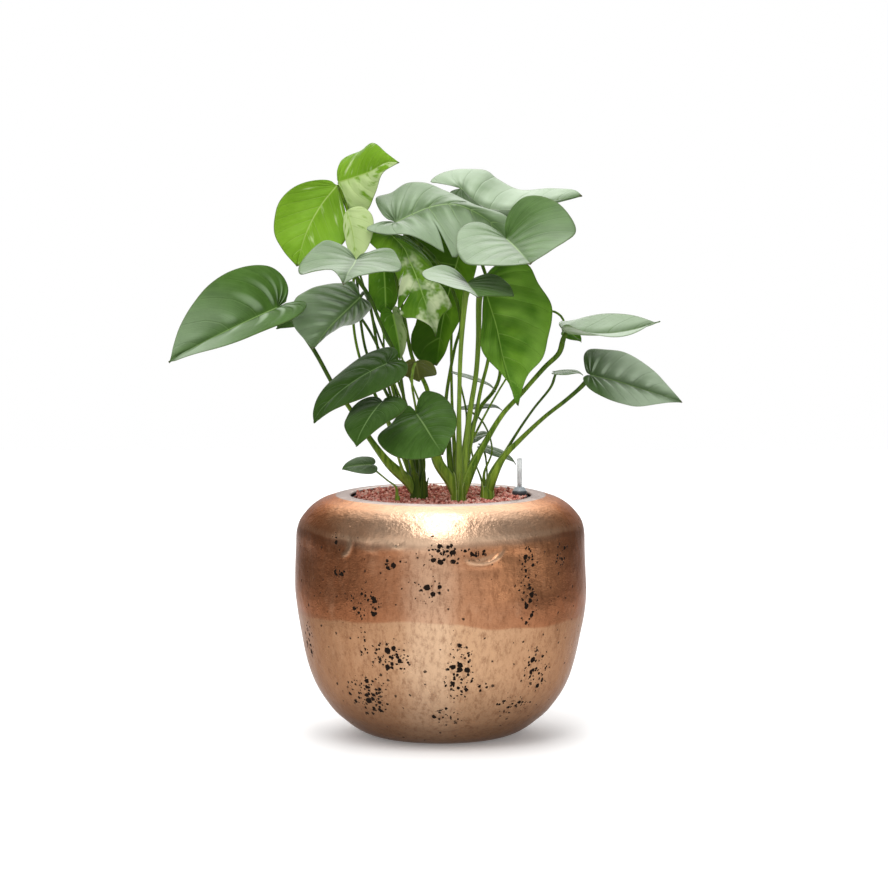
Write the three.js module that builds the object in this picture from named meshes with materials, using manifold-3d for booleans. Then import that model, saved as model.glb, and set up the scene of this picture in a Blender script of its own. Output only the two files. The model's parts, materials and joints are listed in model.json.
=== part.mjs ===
// Swiss cheese plant in a bronze pot, on a culture pot of clay granules with a water gauge.
// Millimetres, +Z up, +X right and +Y away from the viewer. The origin is the centre of the foot.
import * as THREE from 'three';
import Module from 'manifold-3d';

const wasm = await Module();
wasm.setup();
const { Manifold } = wasm;

// Driving dimensions
const POT_HEIGHT = 304;
const POT_SEGMENTS = 44;
const OPENING_RADIUS = 112.6;
const CULTURE_TOP = 299;
const CULTURE_BASE = 109;
const CULTURE_RADIUS = 109;
const CULTURE_BASE_RADIUS = 96;
const CULTURE_WALL = 1.6;
const SOIL_TOP = 297.5;
const CLEARANCE = 0.3;
const BLADE_THICKNESS = 1.0;
const STALK_GAP = 0.45;
const POST_BOTTOM = 232;
const GAUGE_AT = [98.6, -1];
const GAUGE_STEM_BOTTOM = 262;
const GAUGE_STEM_RADIUS = 3.6;
const GAUGE_HEAD_RADIUS = 9.6;
const GAUGE_TOP = 348;

// The photograph's camera, so that leaves are placed by what is seen
const EYE = new THREE.Vector3(4, -5000, 856);
const AIM = new THREE.Vector3(4, 0, 367);
const AIM_UP = 365;
const VIEW_UP = new THREE.Vector3(0, Math.sin(0.0977), Math.cos(0.0977));

// A point seen `across` and `up` on the picture, in mm from the foot, at a given depth
function front([across, up, depth]) {
  const seen = AIM.clone();
  seen.x += across - AIM.x;
  seen.addScaledVector(VIEW_UP, up - AIM_UP);
  const ray = seen.sub(EYE);
  return EYE.clone().addScaledVector(ray, (depth - EYE.y) / ray.y);
}

const rad = (degrees) => (degrees * Math.PI) / 180;
const mix = (a, b, t) => a + (b - a) * t;

function solidFrom(points, faces) {
  const mesh = new wasm.Mesh({
    numProp: 3,
    vertProperties: new Float32Array(points.flatMap((p) => [p.x, p.y, p.z])),
    triVerts: new Uint32Array(faces.flat()),
  });
  return new Manifold(mesh);
}

function geometryFrom(points, faces) {
  const geometry = new THREE.BufferGeometry();
  const flat = points.flatMap((p) => [p.x, p.y, p.z]);
  geometry.setAttribute('position', new THREE.Float32BufferAttribute(flat, 3));
  geometry.setIndex(faces.flat());
  geometry.computeVertexNormals();
  return geometry;
}

function geometryOf(solid) {
  const mesh = solid.getMesh();
  const geometry = new THREE.BufferGeometry();
  geometry.setAttribute('position', new THREE.Float32BufferAttribute(mesh.vertProperties, 3));
  geometry.setIndex(Array.from(mesh.triVerts));
  geometry.computeVertexNormals();
  return geometry;
}

function largestBody(solid, name) {
  const bodies = solid.decompose();
  bodies.sort((a, b) => b.volume() - a.volume());
  for (const body of bodies.slice(1)) {
    if (body.volume() > 20) console.warn(`${name}: left out a piece of ${body.volume().toFixed(0)} mm3`);
  }
  return bodies[0];
}

// Round pieces, from a profile of [radius, height] pairs that runs up the outside
function lathe(profile, segments) {
  const points = profile.map(([radius, height]) => new THREE.Vector2(radius, height));
  const geometry = new THREE.LatheGeometry(points, segments);
  return geometry.rotateX(Math.PI / 2);
}

function cylinder(x, y, bottom, top, radius, sides = 24) {
  return Manifold.cylinder(top - bottom, radius, radius, sides).translate([x, y, bottom]);
}

// Leaf blades. The outline of one half, as [along the midrib, across, where its vein starts],
// in leaf lengths, half widths and leaf lengths. It runs from the notch to the tip.
const HALF_OUTLINE = [
  [-0.1, 0.05, 0],
  [-0.165, 0.24, 0],
  [-0.17, 0.52, 0],
  [-0.1, 0.79, 0],
  [0.04, 0.95, 0],
  [0.2, 1.0, 0.04],
  [0.4, 0.94, 0.16],
  [0.6, 0.74, 0.36],
  [0.78, 0.46, 0.6],
  [0.9, 0.2, 0.8],
  [0.96, 0.06, 0.92],
  [1.0, 0.0, 1.0],
].map((p) => new THREE.Vector3(...p));
const outlineCurve = new THREE.CatmullRomCurve3(HALF_OUTLINE, false, 'centripetal');

// The midrib as a bent line in its own plane, sampled from the notch lobes to the tip
function midribLine(arch, droop) {
  const steps = 80;
  const line = [];
  const angleAt = (u) => -arch * (u - 0.5) - droop * Math.max(0, (u - 0.7) / 0.3) ** 2;
  const walk = (u0, u1) => {
    const angle = angleAt((u0 + u1) / 2);
    return [Math.cos(angle) * (u1 - u0), Math.sin(angle) * (u1 - u0)];
  };
  let x = 0;
  let z = 0;
  for (let i = 0; i <= steps; i += 1) {
    line.push([x, z]);
    const [dx, dz] = walk(i / steps, (i + 1) / steps);
    x += dx;
    z += dz;
  }
  const [endX, endZ] = line[steps];
  const chord = Math.hypot(endX, endZ);
  const turn = Math.atan2(endZ, endX);
  const place = (u) => {
    const at = Math.min(Math.max(u, 0), 1) * steps;
    const i = Math.min(Math.floor(at), steps - 1);
    let px = mix(line[i][0], line[i + 1][0], at - i);
    let pz = mix(line[i][1], line[i + 1][1], at - i);
    let angle = angleAt(u);
    if (u < 0) {
      angle = angleAt(u * 0.5);
      px += Math.cos(angle) * u;
      pz += Math.sin(angle) * u;
    }
    angle -= turn;
    return {
      along: px * Math.cos(turn) + pz * Math.sin(turn),
      height: -px * Math.sin(turn) + pz * Math.cos(turn),
      angle,
    };
  };
  return { place, chord };
}

// A blade's surface from its shape: the frame, then folds, curl and waves. `side` is the half
// width as seen on the picture, from the midrib to the left margin. Where it is given, it sets
// both the width and the way the top faces.
function bladeFrame(leaf) {
  const attach = front(leaf.attach);
  const ahead = front(leaf.tip).sub(attach);
  const chord = ahead.length();
  let half = leaf.width / 2;
  let normal = new THREE.Vector3(...(leaf.face ?? [0, 0, 1]));
  if (leaf.side) {
    const [across, up] = leaf.side;
    const left = new THREE.Vector3(across, 0, up);
    left.y = -left.dot(ahead) / ahead.y;
    half = left.length();
    normal = ahead.clone().cross(left);
  }
  ahead.normalize();
  normal.addScaledVector(ahead, -normal.dot(ahead)).normalize();
  return { attach, ahead, chord, normal, half, left: normal.clone().cross(ahead) };
}

function shapedSurface(leaf) {
  const { attach, ahead, chord, normal, half, left } = bladeFrame(leaf);
  const midrib = midribLine(leaf.arch ?? 0.4, leaf.droop ?? 0.5);
  const length = chord / midrib.chord;
  const wave = leaf.wave ?? 2.5;
  const edge = rad(leaf.edge ?? -20);
  const shaped = (u) => (u > 0 ? u ** (leaf.belly ?? 1) : u * (leaf.lobe ?? 1));
  const veinStart = (t) => shaped(outlineCurve.getPoint(t).z);
  const point = (side, t, s, shift) => {
    const margin = outlineCurve.getPoint(t);
    const bow = 0.06 * Math.sin(Math.PI * s) * Math.max(0, margin.y);
    const u = mix(veinStart(t), shaped(margin.x), s) - bow + shift / length;
    const reach = margin.y * s * half;
    const turned = (leaf.twist ?? 0) * Math.max(u, 0) * side;
    const fold = rad((side > 0 ? leaf.foldL : leaf.foldR) + turned);
    const turnRate = edge / half;
    const endAngle = fold + turnRate * reach;
    let out = reach * Math.cos(fold);
    let lift = reach * Math.sin(fold);
    if (Math.abs(turnRate * reach) > 1e-5) {
      out = (Math.sin(endAngle) - Math.sin(fold)) / turnRate;
      lift = (Math.cos(fold) - Math.cos(endAngle)) / turnRate;
    }
    lift += wave * s * s * Math.sin(t * 11 + side);
    const on = midrib.place(u);
    return attach.clone()
      .addScaledVector(ahead, on.along * length - Math.sin(on.angle) * lift)
      .addScaledVector(normal, on.height * length + Math.cos(on.angle) * lift)
      .addScaledVector(left, side * out);
  };
  return { point, veinStart };
}

// A blade's surface from its edges: rib, left and right are points seen on the picture
function drawnSurface(leaf) {
  const curve = (points) => new THREE.CatmullRomCurve3(points.map(front), false, 'centripetal');
  const start = leaf.rib[0];
  const tip = leaf.rib[leaf.rib.length - 1];
  const rib = curve(leaf.rib);
  const margins = [curve([start, ...leaf.right, tip]), curve([start, ...leaf.left, tip])];
  const normals = margins.map((margin, i) => {
    const normal = new THREE.Vector3();
    const attach = front(start);
    for (let k = 0; k < 24; k += 1) {
      const from = margin.getPointAt(k / 24).sub(attach);
      const to = margin.getPointAt((k + 1) / 24).sub(attach);
      normal.addScaledVector(from.cross(to), i === 0 ? 1 : -1);
    }
    return normal.normalize();
  });
  const veinStart = (t) => Math.max(0, (t - 0.3) / 0.7) ** 1.25;
  const point = (side, t, s, shift) => {
    const i = side > 0 ? 1 : 0;
    const along = Math.min(mix(0.04, 1, t) + shift / margins[i].getLength(), 1);
    const margin = margins[i].getPointAt(along);
    const from = rib.getPointAt(veinStart(t));
    const lift = (leaf.swell ?? 4) * Math.sin(Math.PI * s) * Math.sin(Math.PI * Math.min(t * 1.1, 1));
    return from.lerp(margin, s).addScaledVector(normals[i], lift);
  };
  return { point, veinStart };
}

// One leaf's middle surface, as points and triangles. Rows follow the side veins.
// A cut doubles a row and opens it between two shares of the vein.
function bladeSheet(leaf) {
  const surface = leaf.rib ? drawnSurface(leaf) : shapedSurface(leaf);
  const rows = leaf.rows ?? 9;
  const columns = leaf.columns ?? 3;
  const points = [];
  const faces = [];
  const index = new Map();
  const vertex = (key, make) => {
    if (!index.has(key)) {
      index.set(key, points.length);
      points.push(make());
    }
    return index.get(key);
  };
  for (const side of [1, -1]) {
    const cuts = (leaf.cuts ?? []).filter((cut) => cut.side === side);
    const lines = [];
    for (let i = 0; i <= rows; i += 1) {
      const cut = cuts.find((c) => c.row === i);
      for (const shift of cut ? [-1, 1] : [0]) lines.push({ i, cut, shift });
    }
    const idOf = (line, j) => {
      const s = j / columns;
      const t = line.i / rows;
      if (j === 0 || line.i === rows) {
        return vertex(`rib ${surface.veinStart(t).toFixed(4)}`, () => surface.point(side, t, 0, 0));
      }
      let gap = 0;
      if (line.cut && s > line.cut.from && s < line.cut.to) {
        gap = line.cut.gap * (line.cut.to > 1 ? (s - line.cut.from) / (1 - line.cut.from) : 1);
      }
      const key = `${side} ${line.i} ${j} ${gap > 0 ? line.shift : ''}`;
      return vertex(key, () => surface.point(side, t, s, line.shift * gap));
    };
    for (let k = 0; k + 1 < lines.length; k += 1) {
      if (lines[k].i === lines[k + 1].i) continue;
      for (let j = 0; j < columns; j += 1) {
        const a = idOf(lines[k], j);
        const b = idOf(lines[k + 1], j);
        const c = idOf(lines[k + 1], j + 1);
        const d = idOf(lines[k], j + 1);
        for (const face of [[a, b, c], [a, c, d]]) {
          if (new Set(face).size < 3) continue;
          faces.push(side > 0 ? face : [face[0], face[2], face[1]]);
        }
      }
    }
  }
  return { points, faces };
}

// Gives a sheet its thickness, and with `grow` moves its edge outward in its own plane
function thicken({ points, faces }, thickness, grow = 0) {
  const normals = points.map(() => new THREE.Vector3());
  const outward = points.map(() => new THREE.Vector3());
  const edges = new Map();
  const normalOf = ([a, b, c]) => {
    const one = points[b].clone().sub(points[a]);
    return one.cross(points[c].clone().sub(points[a]));
  };
  for (const face of faces) {
    const normal = normalOf(face);
    for (let k = 0; k < 3; k += 1) {
      normals[face[k]].add(normal);
      const a = face[k];
      const b = face[(k + 1) % 3];
      if (edges.has(`${b} ${a}`)) edges.delete(`${b} ${a}`);
      else edges.set(`${a} ${b}`, { a, b, normal });
    }
  }
  normals.forEach((normal) => normal.normalize());
  for (const { a, b, normal } of edges.values()) {
    const side = points[b].clone().sub(points[a]).cross(normal).normalize();
    outward[a].add(side);
    outward[b].add(side);
  }
  const count = points.length;
  const shifted = (sign) => points.map((p, i) => {
    const moved = p.clone().addScaledVector(normals[i], (sign * thickness) / 2);
    if (grow > 0 && outward[i].lengthSq() > 0) {
      moved.addScaledVector(outward[i].clone().normalize(), grow);
    }
    return moved;
  });
  const all = [...shifted(1), ...shifted(-1)];
  const shell = [];
  for (const [a, b, c] of faces) {
    shell.push([a, b, c]);
    shell.push([a + count, c + count, b + count]);
  }
  for (const { a, b } of edges.values()) {
    shell.push([b, a, a + count]);
    shell.push([b, a + count, b + count]);
  }
  return { points: all, faces: shell };
}

// A stalk that tapers along a smooth path of points
function stalkSolid(path, baseRadius, endRadius, sides, steps) {
  const curve = new THREE.CatmullRomCurve3(path, false, 'centripetal');
  const points = [];
  const faces = [];
  let across = new THREE.Vector3(0, 1, 0);
  for (let i = 0; i <= steps; i += 1) {
    const t = i / steps;
    const centre = curve.getPointAt(t);
    const ahead = curve.getTangentAt(t);
    across = across.addScaledVector(ahead, -across.dot(ahead)).normalize();
    const other = ahead.clone().cross(across);
    const radius = mix(endRadius, baseRadius, (1 - t) ** 1.6);
    for (let k = 0; k < sides; k += 1) {
      const angle = (2 * Math.PI * k) / sides;
      const ring = centre.clone().addScaledVector(across, radius * Math.cos(angle));
      points.push(ring.addScaledVector(other, radius * Math.sin(angle)));
    }
  }
  for (let i = 0; i < steps; i += 1) {
    for (let k = 0; k < sides; k += 1) {
      const a = i * sides + k;
      const b = i * sides + ((k + 1) % sides);
      faces.push([a, b, b + sides], [a, b + sides, a + sides]);
    }
  }
  const last = steps * sides;
  for (let k = 1; k + 1 < sides; k += 1) {
    faces.push([0, k + 1, k], [last, last + k, last + k + 1]);
  }
  return solidFrom(points, faces);
}

// Leaves. Points are [across, up, depth] on the picture. The larger ones are drawn by their rib
// and margins from the stalk to the tip, the rest by their shape: face is the way the top faces,
// and foldL and foldR lift each half out of the blade's plane, in degrees.
const YOUNG = 0x8fc52e;
const BRIGHT = 0x5fa834;
const MID = 0x4d8a48;
const DARK = 0x2f6136;
const LEAVES = {
  leaf_top_left: {
    rib: [[-130, 687, 42], [-150, 662, 36], [-168, 628, 20], [-180, 586, 2]],
    left: [[-124, 670, 42], [-118, 645, 36], [-119, 620, 26], [-138, 600, 12], [-160, 592, 4]],
    right: [[-138, 693, 44], [-154, 694, 42], [-184, 685, 34], [-204, 662, 20], [-208, 629, 8],
      [-198, 607, 2]],
    swell: -6, colour: YOUNG,
  },
  leaf_top_crown: {
    rib: [[-128, 691, 64], [-109, 697, 54], [-89, 704, 42], [-67, 716, 26], [-52, 716, 14]],
    left: [[-128, 702, 76], [-125, 717, 84], [-100, 731, 78], [-84, 740, 60], [-67, 727, 34]],
    right: [[-123, 680, 62], [-118, 658, 58], [-106, 652, 52], [-92, 656, 44], [-82, 677, 34],
      [-72, 703, 22]],
    swell: 5, colour: YOUNG,
  },
  leaf_far_left: {
    attach: [-205, 534, -20], tip: [-340, 466, -50], face: [-0.1, -1, 0.35],
    width: 138, foldL: 59, foldR: 4, edge: -8, arch: 0.3, droop: 0.3, colour: MID,
  },
  leaf_pale_left: {
    rib: [[-106, 594, -20], [-109, 588, -60], [-115, 579, -110], [-122, 563, -150]],
    left: [[-100, 601, -15], [-89, 604, -12], [-76, 608, -9], [-61, 607, -20], [-53, 596, -44],
      [-50, 582, -76], [-69, 579, -104], [-88, 577, -124], [-106, 573, -140]],
    right: [[-111, 602, -15], [-115, 607, -12], [-127, 614, -10], [-142, 618, -16], [-153, 614, -30],
      [-164, 604, -50], [-178, 584, -80], [-174, 576, -100], [-153, 581, -118], [-136, 582, -132],
      [-127, 573, -142]],
    swell: 3, colour: MID, rows: 11,
  },
  leaf_under_left: {
    rib: [[-101, 547, -18], [-120, 529, -34], [-139, 510, -42], [-160, 483, -48]],
    left: [[-92, 543, -4], [-87, 535, 8], [-98, 521, 16], [-111, 514, 12], [-130, 508, -8],
      [-145, 497, -28]],
    right: [[-104, 558, -8], [-110, 567, -2], [-121, 565, 2], [-135, 565, 2], [-152, 561, -2],
      [-168, 555, -8], [-181, 547, -16], [-186, 530, -24], [-184, 512, -34], [-170, 494, -44]],
    swell: 4, colour: MID,
  },
  leaf_behind_left: {
    attach: [-128, 545, 70], tip: [-206, 508, 52], face: [-0.1, -0.75, 0.6],
    width: 56, foldL: 4, foldR: 4, arch: 0.4, droop: 0.3, colour: DARK, rows: 8, columns: 2,
  },
  leaf_upper_middle: {
    rib: [[-56, 641, 22], [-36, 651, 30], [-14, 660, 38], [12, 664, 46], [30, 660, 50],
      [54, 647, 56], [71, 633, 60], [84, 618, 62]],
    left: [[-68, 646, 30], [-77, 657, 46], [-81, 672, 60], [-61, 678, 72], [-41, 690, 84],
      [-18, 691, 88], [5, 680, 84], [42, 664, 80], [84, 646, 74], [88, 630, 68]],
    right: [[-74, 642, 15], [-93, 633, 4], [-68, 626, -8], [-41, 625, -14], [-14, 615, -16],
      [18, 597, -12], [30, 616, 8], [46, 614, 22], [68, 606, 44], [80, 608, 56]],
    swell: 4, colour: MID, rows: 13, columns: 4, cuts: [
      { side: -1, row: 7, from: 0.3, to: 2, gap: 6 },
      { side: 1, row: 9, from: 0.3, to: 0.7, gap: 3 },
    ],
  },
  leaf_upper_right: {
    rib: [[26, 683, 118], [39, 668, 108], [61, 658, 102], [84, 656, 100], [118, 662, 100],
      [147, 669, 104], [177, 674, 110]],
    left: [[14, 688, 126], [-1, 690, 134], [-13, 692, 142], [-4, 700, 150], [12, 705, 158],
      [34, 708, 166], [57, 706, 168], [70, 695, 166], [95, 683, 158], [138, 683, 138],
      [168, 681, 118]],
    right: [[13, 680, 112], [8, 672, 106], [21, 663, 100], [49, 651, 94], [84, 643, 92],
      [111, 652, 94], [139, 663, 98]],
    swell: 3, colour: MID, rows: 13,
  },
  leaf_shoulder_right: {
    rib: [[82, 620, -8], [93, 610, -60], [103, 599, -110], [112, 589, -150]],
    left: [[80, 634, 0], [86, 655, 12], [102, 671, 18], [120, 674, 12], [144, 667, -6],
      [161, 649, -34], [169, 631, -60], [156, 617, -88], [138, 606, -116], [119, 594, -142]],
    right: [[66, 632, 2], [49, 641, 6], [34, 639, -4], [21, 628, -26], [19, 617, -46],
      [20, 605, -66], [30, 591, -96], [49, 587, -118], [77, 587, -138]],
    swell: 5, colour: MID, rows: 11,
  },
  leaf_hanging_right: {
    rib: [[54, 566, -20], [58, 548, -36], [69, 512, -56], [78, 470, -70], [97, 411, -78]],
    left: [[62, 582, -12], [84, 594, -10], [109, 588, -16], [122, 565, -26], [138, 538, -36],
      [139, 520, -42], [134, 496, -50], [127, 471, -58], [109, 450, -66], [101, 429, -74]],
    right: [[49, 562, -22], [54, 546, -32], [52, 515, -44], [51, 484, -54], [57, 471, -60],
      [75, 453, -68], [86, 438, -72]],
    swell: 3, colour: BRIGHT,
  },
  leaf_pale_centre: {
    rib: [[33, 565, -50], [37, 560, -90], [43, 553, -135], [47, 547, -168]],
    left: [[38, 567, -46], [46, 573, -39], [57, 576, -39], [72, 574, -50], [85, 563, -76],
      [91, 552, -104], [90, 548, -120], [72, 549, -138], [56, 549, -156]],
    right: [[28, 570, -46], [19, 581, -41], [5, 587, -44], [-8, 586, -56], [-23, 578, -84],
      [-20, 572, -104], [-4, 565, -126], [17, 559, -146], [32, 555, -158]],
    swell: 2, colour: MID, rows: 11,
  },
  leaf_split_young: {
    rib: [[-61, 625, 16], [-46, 609, 12], [-40, 595, 6], [-32, 577, -4], [-22, 549, -18],
      [-16, 531, -26], [-6, 498, -38]],
    left: [[-52, 624, 20], [-39, 620, 20], [-14, 592, 12], [-2, 569, 0], [12, 541, -14],
      [14, 536, -17], [1, 524, -26], [-4, 510, -34]],
    right: [[-70, 632, 20], [-84, 630, 20], [-91, 620, 17], [-80, 607, 12], [-66, 590, 4],
      [-54, 570, -4], [-52, 528, -22], [-46, 522, -26], [-32, 521, -30], [-12, 510, -36]],
    swell: 4, colour: BRIGHT, rows: 13, cuts: [
      { side: 1, row: 7, from: 0.34, to: 2, gap: 3 },
      { side: -1, row: 7, from: 0.34, to: 2, gap: 3 },
      { side: -1, row: 9, from: 0.34, to: 2, gap: 2.4 },
    ],
  },
  leaf_young_yellow: {
    rib: [[-118, 655, 24], [-112, 635, 16], [-108, 612, 12], [-106, 592, 10]],
    left: [[-108, 660, 23], [-97, 660, 20], [-86, 650, 16], [-84, 632, 12], [-92, 608, 10]],
    right: [[-121, 648, 20], [-122, 635, 16], [-119, 618, 13], [-114, 602, 11]],
    swell: 2, colour: YOUNG, rows: 8, columns: 2,
  },
  leaf_dark_middle: {
    rib: [[24, 604, 68], [12, 560, 66], [2, 515, 56], [-5, 462, 38]],
    left: [[30, 626, 68], [42, 616, 66], [46, 594, 62], [38, 560, 56], [29, 530, 50],
      [12, 496, 42], [5, 477, 39]],
    right: [[16, 632, 68], [0, 650, 68], [-26, 648, 66], [-46, 630, 62], [-46, 600, 58],
      [-37, 560, 52], [-30, 520, 46], [-37, 500, 42], [-36, 482, 40], [-25, 467, 38]],
    swell: 2, colour: DARK, rows: 9, columns: 2,
  },
  leaf_right_upper: {
    attach: [157, 504, -20], tip: [274, 518, -10], face: [0.05, -0.08, 1],
    width: 80, foldL: 22, foldR: 24, edge: -10, twist: 30, arch: -0.6, droop: 0, lobe: 0.4,
    colour: MID,
  },
  leaf_right_lower: {
    rib: [[187, 450, -14], [220, 442, -4], [255, 431, 8], [302, 416, 20]],
    left: [[182, 454, -6], [179, 474, 12], [184, 481, 20], [194, 483, 27], [216, 481, 33],
      [229, 478, 36], [247, 470, 36], [266, 455, 32], [282, 439, 26]],
    right: [[178, 447, -20], [182, 437, -28], [191, 429, -32], [210, 420, -32], [235, 412, -24],
      [248, 411, -16], [266, 413, -4], [286, 416, 10]],
    swell: 4, colour: DARK,
  },
  leaf_low_left: {
    attach: [-68, 464, -46], tip: [-159, 390, -52], face: [-0.56, -0.49, 0.67],
    width: 90, foldL: 4, foldR: 6, edge: -16, arch: 0.6, droop: 0.4, colour: DARK,
  },
  leaf_low_round: {
    attach: [-75, 415, -72], tip: [-106, 361, -132], side: [34, 2],
    foldL: 6, foldR: 6, arch: 0.4, droop: 0.3, colour: DARK, rows: 9, columns: 2,
  },
  leaf_low_front: {
    rib: [[-30, 401, -34], [-21, 388, -62], [-10, 370, -86], [3, 351, -104]],
    left: [[-29, 417, -30], [-20, 430, -22], [-5, 428, -24], [7, 420, -34], [15, 410, -46],
      [20, 394, -62], [18, 380, -76], [12, 370, -90]],
    right: [[-40, 412, -30], [-52, 402, -34], [-63, 388, -46], [-79, 372, -66], [-75, 362, -78],
      [-61, 350, -92], [-42, 345, -100], [-17, 346, -106]],
    swell: 3, colour: DARK,
  },
  leaf_olive: {
    attach: [-31, 467, -36], tip: [-27, 442, -8], face: [0, 0.5, 0.8],
    width: 54, foldL: -12, foldR: -12, colour: MID, rows: 8, columns: 2,
  },
  leaf_tiny_left: {
    attach: [-87, 338, -20], tip: [-124, 332, -28], face: [-0.1, -0.7, 0.65],
    width: 29, foldL: 8, foldR: 8, colour: MID, rows: 8, columns: 2, wave: 0.6,
  },
  leaf_tiny_middle: {
    attach: [22, 452, 38], tip: [69, 429, 32], face: [0.2, -0.05, 1],
    width: 28, foldL: 8, foldR: 8, colour: MID, rows: 7, columns: 2, wave: 0.6,
  },
  leaf_tiny_right: {
    attach: [145, 454, -16], tip: [178, 450, -20], face: [0, -0.15, 1],
    width: 26, foldL: 6, foldR: 6, colour: MID, rows: 7, columns: 2, wave: 0.6,
  },
  leaf_back_pale: {
    attach: [37, 370, 66], tip: [62, 376, 60], face: [0, -0.4, 0.9],
    width: 24, foldL: 6, foldR: 6, colour: MID, rows: 7, columns: 2, wave: 0.6,
  },
  leaf_back_low: {
    attach: [54, 360, 60], tip: [94, 338, 62], face: [0.3, -0.3, 0.9],
    width: 26, foldL: 6, foldR: 6, colour: MID, rows: 7, columns: 2, wave: 0.6,
  },
  leaf_bright_hanging: {
    attach: [-72, 592, 27], tip: [-70, 523, 24], face: [0.3, -1, 0.1],
    width: 42, foldL: -14, foldR: -14, belly: 0.5, colour: BRIGHT, rows: 8, columns: 2, wave: 0.8,
  },
  leaf_two_tone: {
    attach: [-60, 526, 10], tip: [-51, 468, 6], face: [0.4, -1, 0.1],
    width: 36, foldL: -14, foldR: -14, colour: BRIGHT, rows: 8, columns: 2, wave: 0.8,
  },
  leaf_sliver: {
    attach: [156, 505, 20], tip: [176, 491, 14], face: [0, -0.5, 0.85],
    width: 22, foldL: 10, foldR: 10, lobe: 0.6, colour: BRIGHT, rows: 7, columns: 2, wave: 0.6,
  },
  leaf_edge_on: {
    attach: [31, 410, 58], tip: [77, 406, 50], face: [0, -0.1, 1],
    width: 32, foldL: 8, foldR: 8, colour: DARK, rows: 7, columns: 2, wave: 0.6,
  },
};

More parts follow.
